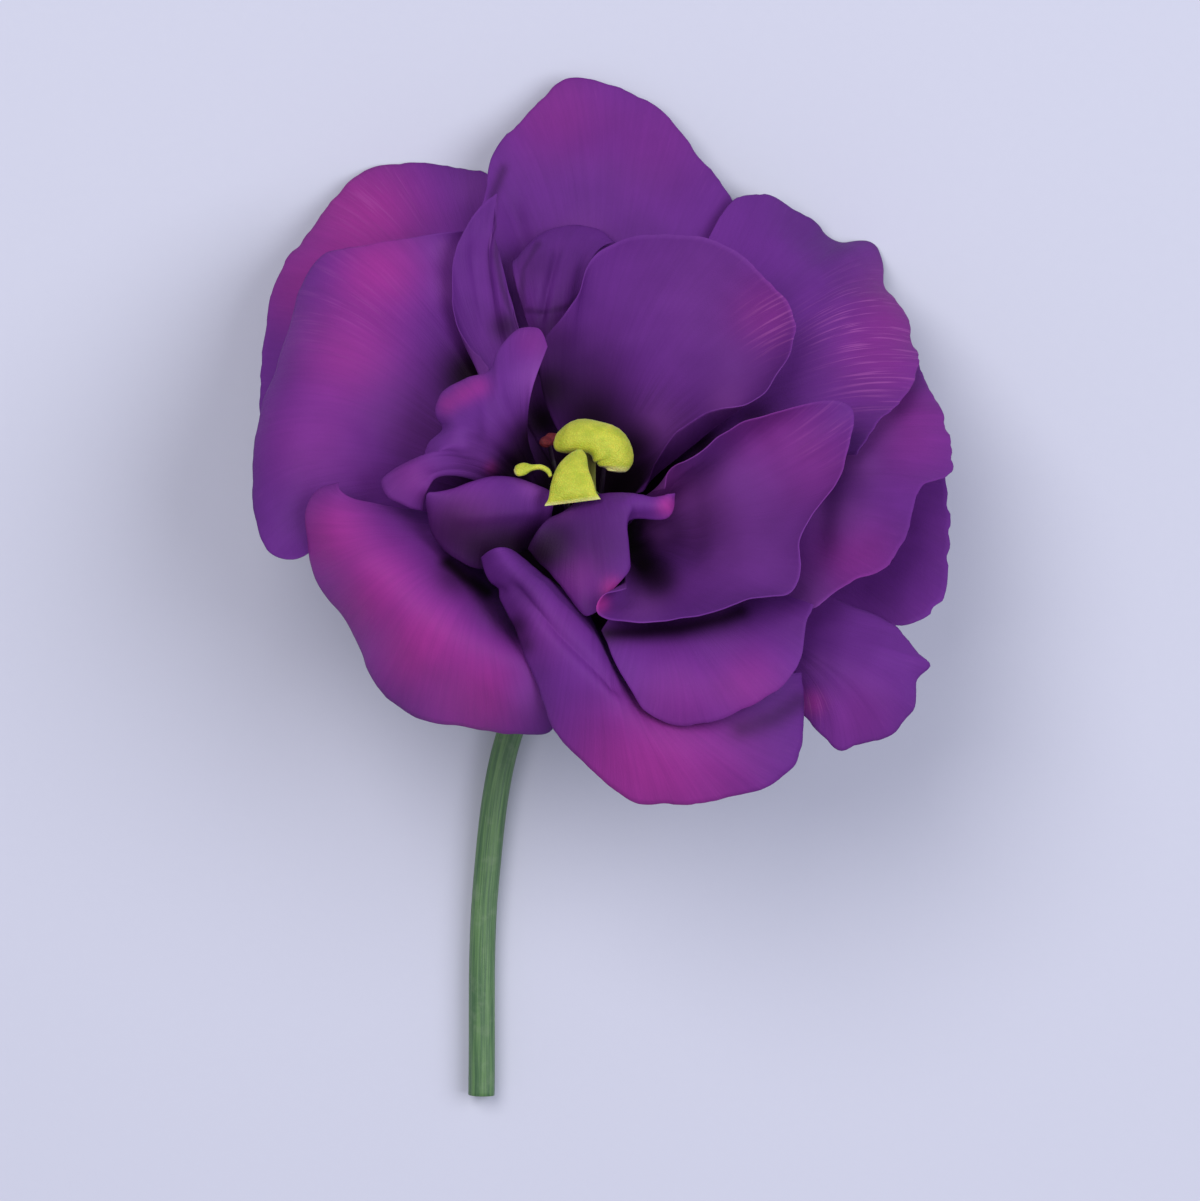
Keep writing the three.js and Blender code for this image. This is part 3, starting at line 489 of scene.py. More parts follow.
def closed_sheet(grid, normals, thickness):
    """A closed skin about a grid: front points, back points and a rounded edge between them.

    Returns the points, the faces and, for each point, its index in the flattened grid and its
    side: +1 on the front, -1 on the back and 0 on the edge."""
    rows, columns = grid.shape[:2]
    half = thickness[..., None] / 2
    front = (grid + normals * half).reshape(-1, 3)
    back = (grid - normals * half).reshape(-1, 3)
    index = np.arange(rows * columns).reshape(rows, columns)
    ring = np.concatenate([index[:, 0], index[-1, 1:], index[-2::-1, -1], index[0, -2:0:-1]])
    inside = np.concatenate([index[:, 1], index[-2, 1:], index[-2::-1, -2], index[1, -2:0:-1]])
    flat = grid.reshape(-1, 3)
    away = unit(flat[ring] - flat[inside])
    edge = flat[ring] + away * thickness.reshape(-1)[ring][:, None] / 2
    count = rows * columns
    a, b = index[:-1, :-1].ravel(), index[1:, :-1].ravel()
    c, d = index[1:, 1:].ravel(), index[:-1, 1:].ravel()
    faces = [np.stack([a, b, c, d], 1), np.stack([a, d, c, b], 1) + count]
    here = np.arange(len(ring))
    there = (here + 1) % len(ring)
    start = 2 * count
    faces.append(np.stack([ring[here], start + here, start + there, ring[there]], 1))
    faces.append(np.stack([start + here, count + ring[here], count + ring[there], start + there], 1))
    points = np.concatenate([front, back, edge])
    source = np.concatenate([np.arange(count), np.arange(count), ring])
    side = np.concatenate([np.ones(count), -np.ones(count), np.zeros(len(ring))])
    return points, np.concatenate(faces), source, side


def tube_points(path, wide, deep, hint, sides, profile=None):
    """Rings of points along a path. hint is the wide side at the start; profile(angle, u) scales
    the radius at an angle round the tube and a fraction u along it."""
    forward = unit(np.gradient(path, axis=0))
    side = np.asarray(hint, float)
    angles = 2 * math.pi * np.arange(sides) / sides
    rings = []
    for i, centre in enumerate(path):
        side = unit(side - forward[i] * (side @ forward[i]))
        other = np.cross(forward[i], side)
        scale = 1 if profile is None else profile(angles, i / (len(path) - 1))
        rings.append(
            centre
            + np.outer(np.cos(angles) * scale * wide[i] / 2, side)
            + np.outer(np.sin(angles) * scale * deep[i] / 2, other)
        )
    return np.array(rings)


def closed_tube(rings):
    """Points and faces of a tube with a fan at each end, and the two end centres last."""
    count, sides = rings.shape[:2]
    index = np.arange(count * sides).reshape(count, sides)
    after = np.roll(index, -1, axis=1)
    faces = list(np.stack([index[:-1], after[:-1], after[1:], index[1:]], -1).reshape(-1, 4))
    first, last = count * sides, count * sides + 1
    for k in range(sides):
        faces.append([first, after[0, k], index[0, k]])
        faces.append([last, index[-1, k], after[-1, k]])
    points = np.concatenate([rings.reshape(-1, 3), [rings[0].mean(0), rings[-1].mean(0)]])
    return points, faces


def along_and_around(rings):
    """Distance along and fraction round for each point of a closed tube, end centres last."""
    count, sides = rings.shape[:2]
    run = run_along(rings.mean(1))
    along = np.repeat(run, sides)
    around = np.tile(np.arange(sides) / sides, count)
    return np.append(along, [0, run[-1]]), np.append(around, [0.5, 0.5])


def tube_piece(node, part, rings, material, slot, **more):
    """A piece from the rings of a closed tube; more adds to its attributes or replaces them."""
    points, faces = closed_tube(rings)
    along, around = along_and_around(rings)
    attributes = {"place": points, "along": along, "around": around, **more}
    mesh_piece(node, part, points, faces, attributes, material)


def per_point(values, grid, source):
    """Values that spread over a grid, taken at each point of the closed sheet about it."""
    return np.broadcast_to(values, grid.shape[:2]).reshape(-1)[source]


# ---- petals

def rim_sense(rim):
    """+1 where the rim runs clockwise about the flower's axis, as seen from the front, else -1."""
    angles = np.arctan2(rim @ UP, rim @ SIDE)
    steps = np.diff(angles)
    turned = np.arctan2(np.sin(steps), np.cos(steps)).sum()
    return 1 if turned < 0 else -1


def petal_surface(petal, s, t):
    """The petal's middle surface on a grid: s runs from claw to rim, t from edge to edge."""
    rim_points = np.array([face_point(p) for p in petal["rim"]])
    rim = spline(rim_points)(t)[None]
    belly = spline([face_point(p) for p in petal["belly"]])(t)[None]
    half_claw = math.radians(petal["claw"]) / 2 * rim_sense(rim_points)
    direction = outward(math.radians(petal["azimuth"]) + half_claw * (1 - 2 * t))[None]
    rise, spread = (
        np.interp(t, [0, 1], np.broadcast_to(petal[key], 2))[None, :, None] for key in ("rise", "spread")
    )
    foot = direction * petal["ring"]
    lift = foot + AXIS * rise + direction * spread
    b, r = BELLY_AT, 1 - BELLY_AT
    pull = (belly - foot * r**3 - lift * 3 * b * r * r - rim * b**3) / (3 * b * b * r)
    s = s[:, None, None]
    q = 1 - s
    return foot * q**3 + lift * 3 * s * q * q + pull * 3 * s * s * q + rim * s**3


def blade_lengths(grid):
    """Millimetres along each blade line and across each row, and the distance to the free edge."""
    steps = np.linalg.norm(np.diff(grid, axis=0), axis=2)
    along = np.concatenate([np.zeros((1, grid.shape[1])), np.cumsum(steps, axis=0)])
    steps = np.linalg.norm(np.diff(grid, axis=1), axis=2)
    across = np.concatenate([np.zeros((grid.shape[0], 1)), np.cumsum(steps, axis=1)], axis=1)
    edge = np.minimum(along[-1] - along, np.minimum(across, across[:, -1:] - across))
    return along, across, edge


def petal_relief(petal, grid, across, edge, seed):
    """How far each point of the blade stands out of its smooth surface."""
    fan = across[-1] - across[-1, -1] / 2
    margin = np.exp(-edge / 3.5)
    blade = smooth(0.3, 0.75, np.linspace(0, 1, grid.shape[0]))[:, None]
    frill = 0.4 + 0.6 * petal.get("frill", PLAIN_FRILL)
    ruffle = frill * (wander(fan, seed, RUFFLE) + wander(fan, seed + 1, FINE_RUFFLE)) * margin
    broad = field(grid, seed + 2, SWELL) + field(grid, seed + 3, CRINKLE)
    return (ruffle + broad + wander(fan, seed + 4, RIB)) * blade


def rim_nibbles(petal, grid, along, across, seed):
    """Small bays and teeth of the margin: shifts of the blade's end along its own lines."""
    fan = across[-1]
    bite = wander(fan, seed + 5, BITE) + wander(fan, seed + 6, TOOTH)
    inward = np.minimum(bite, 0.15) * petal.get("frill", PLAIN_FRILL)
    weight = np.exp(-(along[-1] - along) / 2.0)
    return unit(np.gradient(grid, axis=0)) * (inward * weight)[..., None]


def about_line(start, end, grid):
    """Distance run along a line from its start, distance off it to the left, and its length."""
    start, end = np.array(start, float), np.array(end, float)
    length = np.linalg.norm(end - start)
    way = (end - start) / length
    seen = grid[..., :2] - start
    return seen @ way, seen @ np.array([-way[1], way[0]]), length


def folds_of(petal, grid):
    """How far the folds of a petal stand out towards the front at each point."""
    out = np.zeros(grid.shape[:2])
    for start, end, half_width, height in petal.get("folds", []):
        run, off, length = about_line(start, end, grid)
        ends = smooth(-half_width, half_width * 2, np.stack([run, length - run]))
        out += height * ends[0] * ends[1] * np.exp(-((off / half_width) ** 2))
    return out


def creases_of(petal, grid):
    """Soft thin lines of painted shade along the creases of a blade."""
    level = np.zeros(grid.shape[:2])
    for line, half_width, strength in petal.get("crease_shade", []):
        for start, end in zip(line, line[1:]):
            run, off, length = about_line(start, end, grid)
            past = run - np.clip(run, 0, length)
            level = np.maximum(level, strength * np.exp(-(past**2 + off**2) / half_width**2))
    return level


def spots_of(spots, grid):
    """Soft round spots of (x, y, radius, strength), as seen from the front."""
    left = np.ones(grid.shape[:2])
    for x, y, radius, strength in spots:
        away = (grid[..., 0] - x) ** 2 + (grid[..., 1] - y) ** 2
        left *= 1 - strength * np.exp(-((away / radius**2) ** SPOT_SHARPNESS))
    return 1 - left


def inner_side(grid, normals):
    """+1 where the normals of a petal point into the flower, else -1."""
    foot = grid[1].mean(0)
    inward = -(foot - AXIS * (foot @ AXIS))
    return 1 if normals[1].mean(0) @ inward > 0 else -1


def petal_piece(name, petal, seed, material):
    rough = petal_surface(petal, *(np.linspace(0, 1, count) for count in ROUGH_GRID))
    along, across, _ = blade_lengths(rough)
    cell = petal.get("cell", PETAL_CELL)
    rows = int(np.clip(along[-1].max() / cell, *ROWS_RANGE))
    columns = int(np.clip(across[-1, -1] / cell, *COLUMNS_RANGE))
    s = np.linspace(0, 1, rows)
    grid = petal_surface(petal, s, np.linspace(0, 1, columns))
    along, across, edge = blade_lengths(grid)
    normals = grid_normals(grid, AXIS)
    grid = grid + rim_nibbles(petal, grid, along, across, seed)
    relief = petal_relief(petal, grid, across, edge, seed)
    facing = normals[..., 2]
    relief = relief + folds_of(petal, grid) * np.sign(facing) * smooth(0.1, 0.4, np.abs(facing))
    grid = grid + normals * relief[..., None]
    normals = grid_normals(grid, AXIS)
    thin = smooth(0, 6, edge) * smooth(1, 0.25, s)[:, None]
    thickness = RIM_THICKNESS + (CLAW_THICKNESS - RIM_THICKNESS) * thin
    points, faces, source, side = closed_sheet(grid, normals, thickness)
    inner = inner_side(grid, normals)
    flat = lambda values: per_point(values, grid, source)
    painted = lambda kind: spots_of(petal.get(kind, []), grid)
    fan = across[-1] - across[-1, -1] / 2
    attributes = {
        "blade": np.stack([flat(fan), flat(along), np.full(len(source), seed)], 1),
        "place": points,
        "depth": flat(s[:, None]),
        # Spots of painted highlight, painted shade and painted light, and the painted shade along
        # creases.
        "magenta_and_highlight": flat(painted("magenta_and_highlight")),
        "painted_shade": flat(np.maximum(painted("painted_shade"), creases_of(petal, grid))),
        "lift": flat(painted("lift")),
        "streak": flat(painted("streak")),
        "reverse": (side * inner < 0).astype(float),
        "outside": smooth(0.1, -0.3, flat(normals[..., 2]) * side),
        "edge": flat(edge),
    }
    mesh_piece(name, "blade", points, faces, attributes, material)


# ---- calyx and stalk

def turned_path(profile, centre, count):
    """Path and diameters of a body that is round about the axis, from (radius, height) pairs."""
    curve = spline([(radius, height, 0) for radius, height in profile])
    rows = curve(np.linspace(0, 1, count))
    path = centre + rows[:, 1:2] * AXIS
    return path, 2 * rows[:, 0]


def receptacle_piece(material):
    top = -SEAT_GAP
    profile = [
        (PEDICEL_DIAMETER / 2 + 0.3, top - RECEPTACLE_DEPTH),
        (PEDICEL_DIAMETER / 2 + 1.2, top - 3.7),
        (RECEPTACLE_RADIUS - 2.4, top - 2.7),
        (RECEPTACLE_RADIUS - 0.6, top - 1.4),
        (RECEPTACLE_RADIUS, top - 0.5),
        (RECEPTACLE_RADIUS - 0.5, top),
    ]
    path, width = turned_path(profile, np.zeros(3), 40)
    ribs = lambda angle, u: 1 + 0.02 * np.cos(5 * angle) * u - 0.012 * np.abs(np.sin(15 * angle))
    rings = tube_points(path, width, width, SIDE, 120, ribs)
    tube_piece("receptacle", "body", rings, material, "receptacle")


def sepal_piece(index, azimuth, tip, material):
    angle = math.radians(azimuth)
    across = -math.sin(angle) * SIDE + math.cos(angle) * UP
    distance, height = tip
    stations = [
        (2.9, -5.45), (5.7, -3.95), (8.1, -1.7), (10.8, 0.9),
        (0.5 * (distance + 11), 0.6 * height), tip,
    ]
    spine = spline([axis_point(azimuth, *station) for station in stations])
    rows, columns = 90, 25
    s = np.linspace(0, 1, rows)
    side = np.linspace(-1, 1, columns)
    width = SEPAL_WIDTH * (0.45 + 2.3 * s - 1.25 * s**2) * (1 - s**1.5) + 0.4
    keel = SEPAL_KEEL * np.minimum(1, 0.2 + 3 * s) * (1 - s)
    slope = unit(spine(np.minimum(s + 0.01, 1)) - spine(np.maximum(s - 0.01, 0)))
    inner = np.cross(slope, across)
    run = s * np.linalg.norm(np.diff(spine(s), axis=0), axis=1).sum()
    wave = wander(run, 40 + index, SEPAL_WAVE)[:, None] * side**2
    wave = wave + wander(run, 60 + index, SEPAL_RIPPLE)[:, None] * side
    grid = (
        spine(s)[:, None]
        + across * (side[None, :] * width[:, None] / 2)[..., None]
        + inner[:, None] * (keel[:, None] * side[None, :] ** 2 + wave)[..., None]
    )
    rib = np.exp(-((side / 0.16) ** 2))[None] * (1 - 0.6 * s)[:, None]
    grid = grid - inner[:, None] * (0.22 * rib)[..., None]
    normals = grid_normals(grid)
    edge = (1 - np.abs(side))[None] * width[:, None] / 2
    thickness = SEPAL_EDGE + (SEPAL_THICKNESS - SEPAL_EDGE) * smooth(0, 1.6, edge) + 0.14 * rib
    points, faces, source, _ = closed_sheet(grid, normals, thickness)
    flat = lambda values: per_point(values, grid, source)
    attributes = {
        "place": points,
        "along": flat(run[:, None]),
        "depth": flat(s[:, None]),
        "side": flat(side),
    }
    mesh_piece(f"sepal_{index + 1}", "blade", points, faces, attributes, material)


def pedicel_piece(material):
    """The stalk: it leaves the receptacle along the axis, then bends to lie along the table."""
    top = SEAT_GAP + RECEPTACLE_DEPTH + SEAT_GAP
    flat = math.tan(math.radians(REST_PITCH))
    elbow = np.array([-1.6, -5.2, -7.3])
    along = lambda x, y: np.array([x, y, elbow[2] + (y - elbow[1]) * flat])
    line = spline([
        -AXIS * (top + 0.5), -AXIS * (top + 1.2), elbow, along(-4, -10), along(-9.5, -23),
        along(-12, -40), along(-12.5, -64),
    ])
    path = np.concatenate([[-AXIS * top], line(np.linspace(0, 1, 170))])
    run = run_along(path)
    width = PEDICEL_DIAMETER * (0.935 + wander(run, 7, (0.012, 9)) + 0.05 * np.exp(-run / 2.5))

    def ribs(angle, u):
        slow = 0.02 * np.cos(4 * angle + 3 * u)
        return 1 + slow - 0.016 * np.abs(np.sin(9 * angle + 1.2 * u)) + 0.006 * np.sin(23 * angle)

    rings = tube_points(path, width, width, SIDE, 96, ribs)
    end, centre, way = rings[-1], rings[-1].mean(0), unit(path[-1] - path[-2])
    pith = np.zeros(rings.shape[:2])
    for inward, out, level in PEDICEL_CUT:
        rings = np.append(rings, [end * (1 - inward) + centre * inward + way * out], axis=0)
        pith = np.append(pith, [np.full(len(end), level)], axis=0)
    pith = np.append(pith, [0, 1])
    tube_piece("pedicel", "stalk", rings, material, "pedicel", pith=pith)


# ---- pistil and stamens

def lobe_piece(name, stations, hint, material, profile, count=40, sides=48):
    """A soft rounded body through stations of (face point, wide, deep)."""
    curve = spline([np.append(face_point(point), size) for point, *size in stations])
    u = 0.5 - 0.5 * np.cos(math.pi * np.linspace(0, 1, count))
    rows = curve(u)
    rings = tube_points(rows[:, :3], rows[:, 3], rows[:, 4], hint, sides, profile)
    along, _ = along_and_around(rings)
    tube_piece(name, "lobe", rings, material, "stigma", along=along / along.max())


def pistil_pieces(green, style_green, yellow):
    foot = axis_point(56, 0.2, 0)
    ovary = [(1.2, 0), (1.7, 0.6), (2.0, 3), (2.1, 6), (1.9, 9), (1.4, 11.5), (0.9, 13)]
    style = [(0.8, 13 + SEAT_GAP), (0.7, 16), (0.7, 20), (0.8, 25.4)]
    path, width = turned_path(ovary, foot, 60)
    seam = lambda angle, u: 1 - 0.07 * np.exp(-((np.sin(angle) / 0.25) ** 2))
    tube_piece("ovary", "body", tube_points(path, width, width, SIDE, 48, seam), green, "ovary")
    path, width = turned_path(style, foot, 60)
    tube_piece("style", "column", tube_points(path, width, width, SIDE, 32), style_green, "style")

    upper = [
        ((-3.8, 10.9, 26.1), 0.8, 0.6), ((-3.4, 11, 26.3), 2.2, 1.4), ((-2.6, 11.3, 26.6), 3.2, 2.2),
        ((-1, 11.9, 27.2), 4.1, 2.8), ((0.7, 11.7, 27.4), 4, 3), ((2.2, 10.8, 27), 4.9, 3),
        ((2.9, 9.6, 26.5), 4.7, 2.6), ((3, 8.6, 26.2), 3.9, 2), ((2.95, 7.9, 26), 1.6, 0.8),
    ]
    lower = [
        ((-1, 10.2, 27.9), 0.8, 0.6), ((-1.1, 9.7, 28.1), 1.8, 1.2), ((-1.8, 7.8, 28.9), 3.9, 1.8),
        ((-1.85, 6.4, 29), 4.7, 1.8), ((-1.75, 5.2, 28.9), 5.2, 1.6), ((-1.7, 4.8, 28.8), 5.7, 1),
        ((-1.65, 4.4, 28.6), 6.4, 0.5),
    ]
    curl = [
        ((-4.2, 7.3, 28.6), 0.4, 0.4), ((-4.5, 7.9, 28.6), 0.6, 0.5), ((-5.3, 8.35, 28.5), 0.6, 0.6),
        ((-6.3, 8.3, 28.4), 0.7, 0.6), ((-7.2, 8.15, 28.2), 1.5, 1), ((-7.9, 7.95, 28.1), 1.4, 0.9),
        ((-8.25, 7.85, 28), 0.6, 0.4),
    ]
    plump = lambda angle, u: 1 + 0.04 * np.sin(3 * angle + 5 * u) + 0.03 * np.sin(2 * angle - 7 * u)
    lobe_piece("stigma_upper", upper, UP, yellow, plump)
    lobe_piece("stigma_lower", lower, SIDE, yellow, plump)
    lobe_piece("stigma_curl", curl, UP, yellow, plump, 24, 24)


def stamen_pieces(index, azimuth, anther, dark, brown):
    """A filament from the receptacle up to its anther, and the anther with its two sacs."""
    distance, height = anther
    tilt = math.radians(ANTHER_TILT)
    depth = 0.7 * ANTHER_WIDTH
    seat = depth / 2 / math.sin(tilt) + SEAT_GAP
    line = spline([
        axis_point(azimuth, 2.65, 0),
        axis_point(azimuth, 1.9 + 0.38 * distance, 7),
        axis_point(azimuth, distance, height - seat),
    ])
    path = line(np.linspace(0, 1, 40))
    width = FILAMENT_DIAMETER * np.linspace(1, 0.8, 40)
    rings = tube_points(path, width, width, SIDE, 16)
    tube_piece(f"filament_{index + 1}", "thread", rings, dark, "filament")

    part = np.linspace(-0.5, 0.5, 30)
    radial = outward(math.radians(azimuth))
    way = AXIS * math.cos(tilt) + outward(math.radians(azimuth + 90)) * math.sin(tilt)
    path = axis_point(azimuth, distance, height) + np.outer(part * ANTHER_LENGTH, way)
    wide = ANTHER_WIDTH * np.sqrt(np.maximum(0.02, 1 - (2 * part) ** 4))

    def sacs(angle, u):
        groove = 0.3 * np.exp(-((np.sin(angle) / 0.35) ** 2))
        return 1 - groove + 0.05 * np.sin(4 * angle + 9 * u) - 0.06 * np.sin(14 * u)

    rings = tube_points(path, wide, depth * wide / ANTHER_WIDTH, radial, 32, sacs)
    tube_piece(f"anther_{index + 1}", "sacs", rings, brown, "anther")


# ---- materials

class Look:
    """A node material under construction."""

    def __init__(self, name):
        self.material = bpy.data.materials.new(name)
        self.material.use_nodes = True
        self.tree = self.material.node_tree
        self.tree.nodes.clear()
        self.output = self.tree.nodes.new("ShaderNodeOutputMaterial")

    def node(self, kind, inputs=None, **settings):
        node = self.tree.nodes.new(kind)
        for key, value in settings.items():
            setattr(node, key, value)
        for key, value in (inputs or {}).items():
            self.feed(node.inputs[key], value)
        return node

    def feed(self, socket, value):
        if isinstance(value, bpy.types.NodeSocket):
            self.tree.links.new(value, socket)
        else:
            socket.default_value = value

    def attribute(self, name, output="Fac"):
        return self.node("ShaderNodeAttribute", attribute_name=name).outputs[output]

    def math(self, operation, a, b=0.0):
        return self.node("ShaderNodeMath", {0: a, 1: b}, operation=operation).outputs[0]

    def times(self, a, b):
        return self.math("MULTIPLY", a, b)

    def scaled(self, vector, scale):
        return self.node("ShaderNodeVectorMath", {0: vector, 1: scale}, operation="MULTIPLY").outputs[0]

    def stripes(self, across, along):
        """Noise in long stripes, from a coordinate across them and one along them."""
        vector = self.node("ShaderNodeCombineXYZ", {0: across, 1: along}).outputs[0]
        return self.noise(vector, 1.0, 3.0, 0.6)

    def noise(self, vector, scale, detail=2.0, roughness=0.5, distortion=0.0):
        return self.node("ShaderNodeTexNoise", {
            "Vector": vector, "Scale": scale, "Detail": detail, "Roughness": roughness,
            "Distortion": distortion,
        }).outputs["Fac"]

    def range(self, value, low, high, to_low=0.0, to_high=1.0):
        return self.node("ShaderNodeMapRange", {
            "Value": value, "From Min": low, "From Max": high, "To Min": to_low,
            "To Max": to_high,
        }, interpolation_type="SMOOTHSTEP").outputs[0]

    def mix(self, factor, a, b, blend="MIX"):
        node = self.node("ShaderNodeMix", data_type="RGBA", blend_type=blend)
        self.feed(node.inputs[0], factor)
        self.feed(node.inputs[6], a if isinstance(a, bpy.types.NodeSocket) else (*a, 1))
        self.feed(node.inputs[7], b if isinstance(b, bpy.types.NodeSocket) else (*b, 1))
        return node.outputs[2]

    def bump(self, height, distance, strength=1.0, normal=None):
        node = self.node("ShaderNodeBump", {
            "Height": height, "Distance": distance, "Strength": strength,
        })
        if normal is not None:
            self.feed(node.inputs["Normal"], normal)
        return node.outputs[0]

    def principled(self, colour, roughness, normal, **extra):
        inputs = {"Base Color": colour, "Roughness": roughness, "Normal": normal}
        inputs.update({key.replace("_", " "): value for key, value in extra.items()})
        return self.node("ShaderNodeBsdfPrincipled", inputs)

    def sheer(self, skin, colour, normal, share):
        """The skin where a share of the light comes through from behind."""
        glow = self.node("ShaderNodeBsdfTranslucent", {"Color": colour, "Normal": normal})
        return self.node("ShaderNodeMixShader", {0: share, 1: skin.outputs[0], 2: glow.outputs[0]})

    def finish(self, shader):
        self.tree.links.new(shader.outputs[0], self.output.inputs["Surface"])
        return self.material


# Colours of a petal, as linear red, green and blue.
VIOLET_DEEP = (0.088, 0.018, 0.165)
VIOLET = (0.15, 0.027, 0.262)
# Painted light: a paler violet for places that lie in shade.
PALE_VIOLET = (0.3, 0.075, 0.42)
# Mostly a painted magenta highlight where light falls, and also the petal's own magenta marks.
MAGENTA = (0.4, 0.034, 0.29)
REVERSE = (0.2, 0.052, 0.29)
# The dark of the throat: partly the petal's own dark claws, partly painted shade of the deep throat and
# crevices.
WINE = (0.01, 0.002, 0.011)
PALE_FOOT = (0.33, 0.34, 0.23)
STREAK = (0.52, 0.14, 0.48)


def petal_material():
    """Violet with painted magenta highlights, spots of painted light and shade, a throat dark partly by
    painted shade, and a pale foot outside.
    """
    look = Look("petal_skin")
    blade = look.attribute("blade", "Vector")
    place = look.attribute("place", "Vector")
    depth, edge, magenta_and_highlight, painted_shade, lift, reverse, outside, streak = (
        look.attribute(name)
        for name in ("depth", "edge", "magenta_and_highlight", "painted_shade", "lift", "reverse", "outside", "streak")
    )
    broad = look.noise(place, 0.09, 3.0, 0.55)
    veins = look.noise(look.scaled(blade, (1.5, 0.09, 1.0)), 1.0, 3.0, 0.6, 0.25)
    fine = look.noise(look.scaled(blade, (4.5, 0.35, 1.0)), 1.0, 2.0, 0.6)
    cells = look.noise(place, 7.0, 2.0, 0.5)

    colour = look.mix(look.range(broad, 0.3, 0.7), VIOLET_DEEP, VIOLET)
    colour = look.mix(0.6, colour, VIOLET)
    # Painted highlight: magenta where light falls, with some of the petal's own magenta marks.
    highlight_mask = look.times(magenta_and_highlight, look.range(veins, 0.2, 0.75, 0.93, 1.04))
    colour = look.mix(look.math("MINIMUM", highlight_mask, 1.0), colour, MAGENTA)
    colour = look.mix(look.times(reverse, 0.4), colour, REVERSE)
    shade = look.range(veins, 0.3, 0.7, 0.97, 1.03)
    grey = look.node("ShaderNodeCombineColor", {0: shade, 1: shade, 2: shade}).outputs[0]
    colour = look.mix(1.0, colour, grey, "MULTIPLY")
    # Painted light: paler violet spots where shade falls.
    colour = look.mix(look.times(lift, 0.6), colour, PALE_VIOLET)
    near_rim = look.range(edge, 0.2, 6.0, 1.0, 0.0)
    lines = look.noise(look.scaled(blade, (2.4, 0.1, 1.0)), 1.0, 2.0, 0.6)
    faint = look.times(look.range(fine, 0.56, 0.72, 0.0, 0.05), near_rim)
    marked = look.times(look.range(lines, 0.52, 0.68, 0.0, 0.5), streak)
    colour = look.mix(look.math("MAXIMUM", faint, marked), colour, STREAK)
    # The dark of the throat: partly the petal's own dark claws, partly painted shade of the deep throat;
    # spots of painted light take it away.
    throat = look.range(look.math("ADD", depth, look.times(veins, 0.12)), 0.3, 0.66, 1.0, 0.0)
    throat = look.times(throat, look.math("SUBTRACT", 1.0, lift))
    # Painted shade in crevices and along creases darkens further.
    dark = look.math("MAXIMUM", throat, painted_shade)
    dark = look.times(dark, look.range(outside, 0.0, 1.0, 1.0, 0.15))
    foot = look.times(look.range(depth, 0.06, 0.36, 0.7, 0.0), outside)
    colour = look.mix(foot, look.mix(dark, colour, WINE), PALE_FOOT)

    height = look.math("ADD", look.times(veins, 0.7), look.times(fine, 0.3))
    normal = look.bump(height, 0.00014, 0.5)
    normal = look.bump(cells, 0.00005, 0.5, normal)
    roughness = look.range(cells, 0.3, 0.7, 0.56, 0.68)
    skin = look.principled(colour, roughness, normal, Specular_IOR_Level=0.14)
    warm = look.mix(look.times(look.math("SUBTRACT", 1.0, dark), 0.25), colour, MAGENTA)
    return look.finish(look.sheer(skin, warm, normal, 0.16))


def sepal_material():
    look = Look("sepal_skin")
    place = look.attribute("place", "Vector")
    depth = look.attribute("depth")
    across, along = look.attribute("side"), look.attribute("along")
    side = look.math("ABSOLUTE", across)
    stripes = look.stripes(look.times(across, 9.0), look.times(along, 0.12))
    patches = look.noise(place, 0.35, 3.0, 0.6)
    colour = look.mix(look.range(side, 0.1, 0.95), (0.055, 0.15, 0.045), (0.33, 0.42, 0.11))
    colour = look.mix(look.range(patches, 0.35, 0.7, 0.0, 0.5), colour, (0.11, 0.23, 0.055))
    colour = look.mix(look.range(depth, 0.55, 1.0, 0.0, 0.8), colour, (0.045, 0.12, 0.045))
    colour = look.mix(look.range(stripes, 0.45, 0.7, 0.0, 0.35), colour, (0.03, 0.085, 0.03))
    normal = look.bump(stripes, 0.00025, 0.6)
    cells = look.noise(place, 5.0, 2.0)
    normal = look.bump(cells, 0.00006, 0.5, normal)
    skin = look.principled(colour, look.range(cells, 0.3, 0.7, 0.42, 0.56), normal)
    return look.finish(look.sheer(skin, colour, normal, 0.12))


def stalk_material(name, dark, light, stripes_round, pith=False):
    """A waxy green skin with fine stripes along it, and a pale pith on a cut end."""
    look = Look(name)
    place = look.attribute("place", "Vector")
    around, along = look.attribute("around"), look.attribute("along")
    stripes = look.stripes(look.times(around, stripes_round), look.times(along, 0.1))
    bloom = look.noise(place, 0.5, 3.0, 0.6)
    cells = look.noise(place, 6.0, 2.0)
    colour = look.mix(look.range(stripes, 0.35, 0.65), dark, light)
    colour = look.mix(look.range(bloom, 0.5, 0.75, 0.0, 0.35), colour, (0.21, 0.29, 0.18))
    if pith:
        level = look.attribute("pith")
        cut = look.mix(look.range(level, 0.3, 0.75), (0.24, 0.33, 0.12), (0.56, 0.6, 0.38))
        colour = look.mix(look.range(level, 0.05, 0.15), colour, cut)
    normal = look.bump(stripes, 0.0002, 0.6)
    normal = look.bump(cells, 0.00005, 0.5, normal)
    roughness = look.range(bloom, 0.4, 0.7, 0.4, 0.58)
    skin = look.principled(colour, roughness, normal, Coat_Weight=0.08, Coat_Roughness=0.35)
    return look.finish(skin)


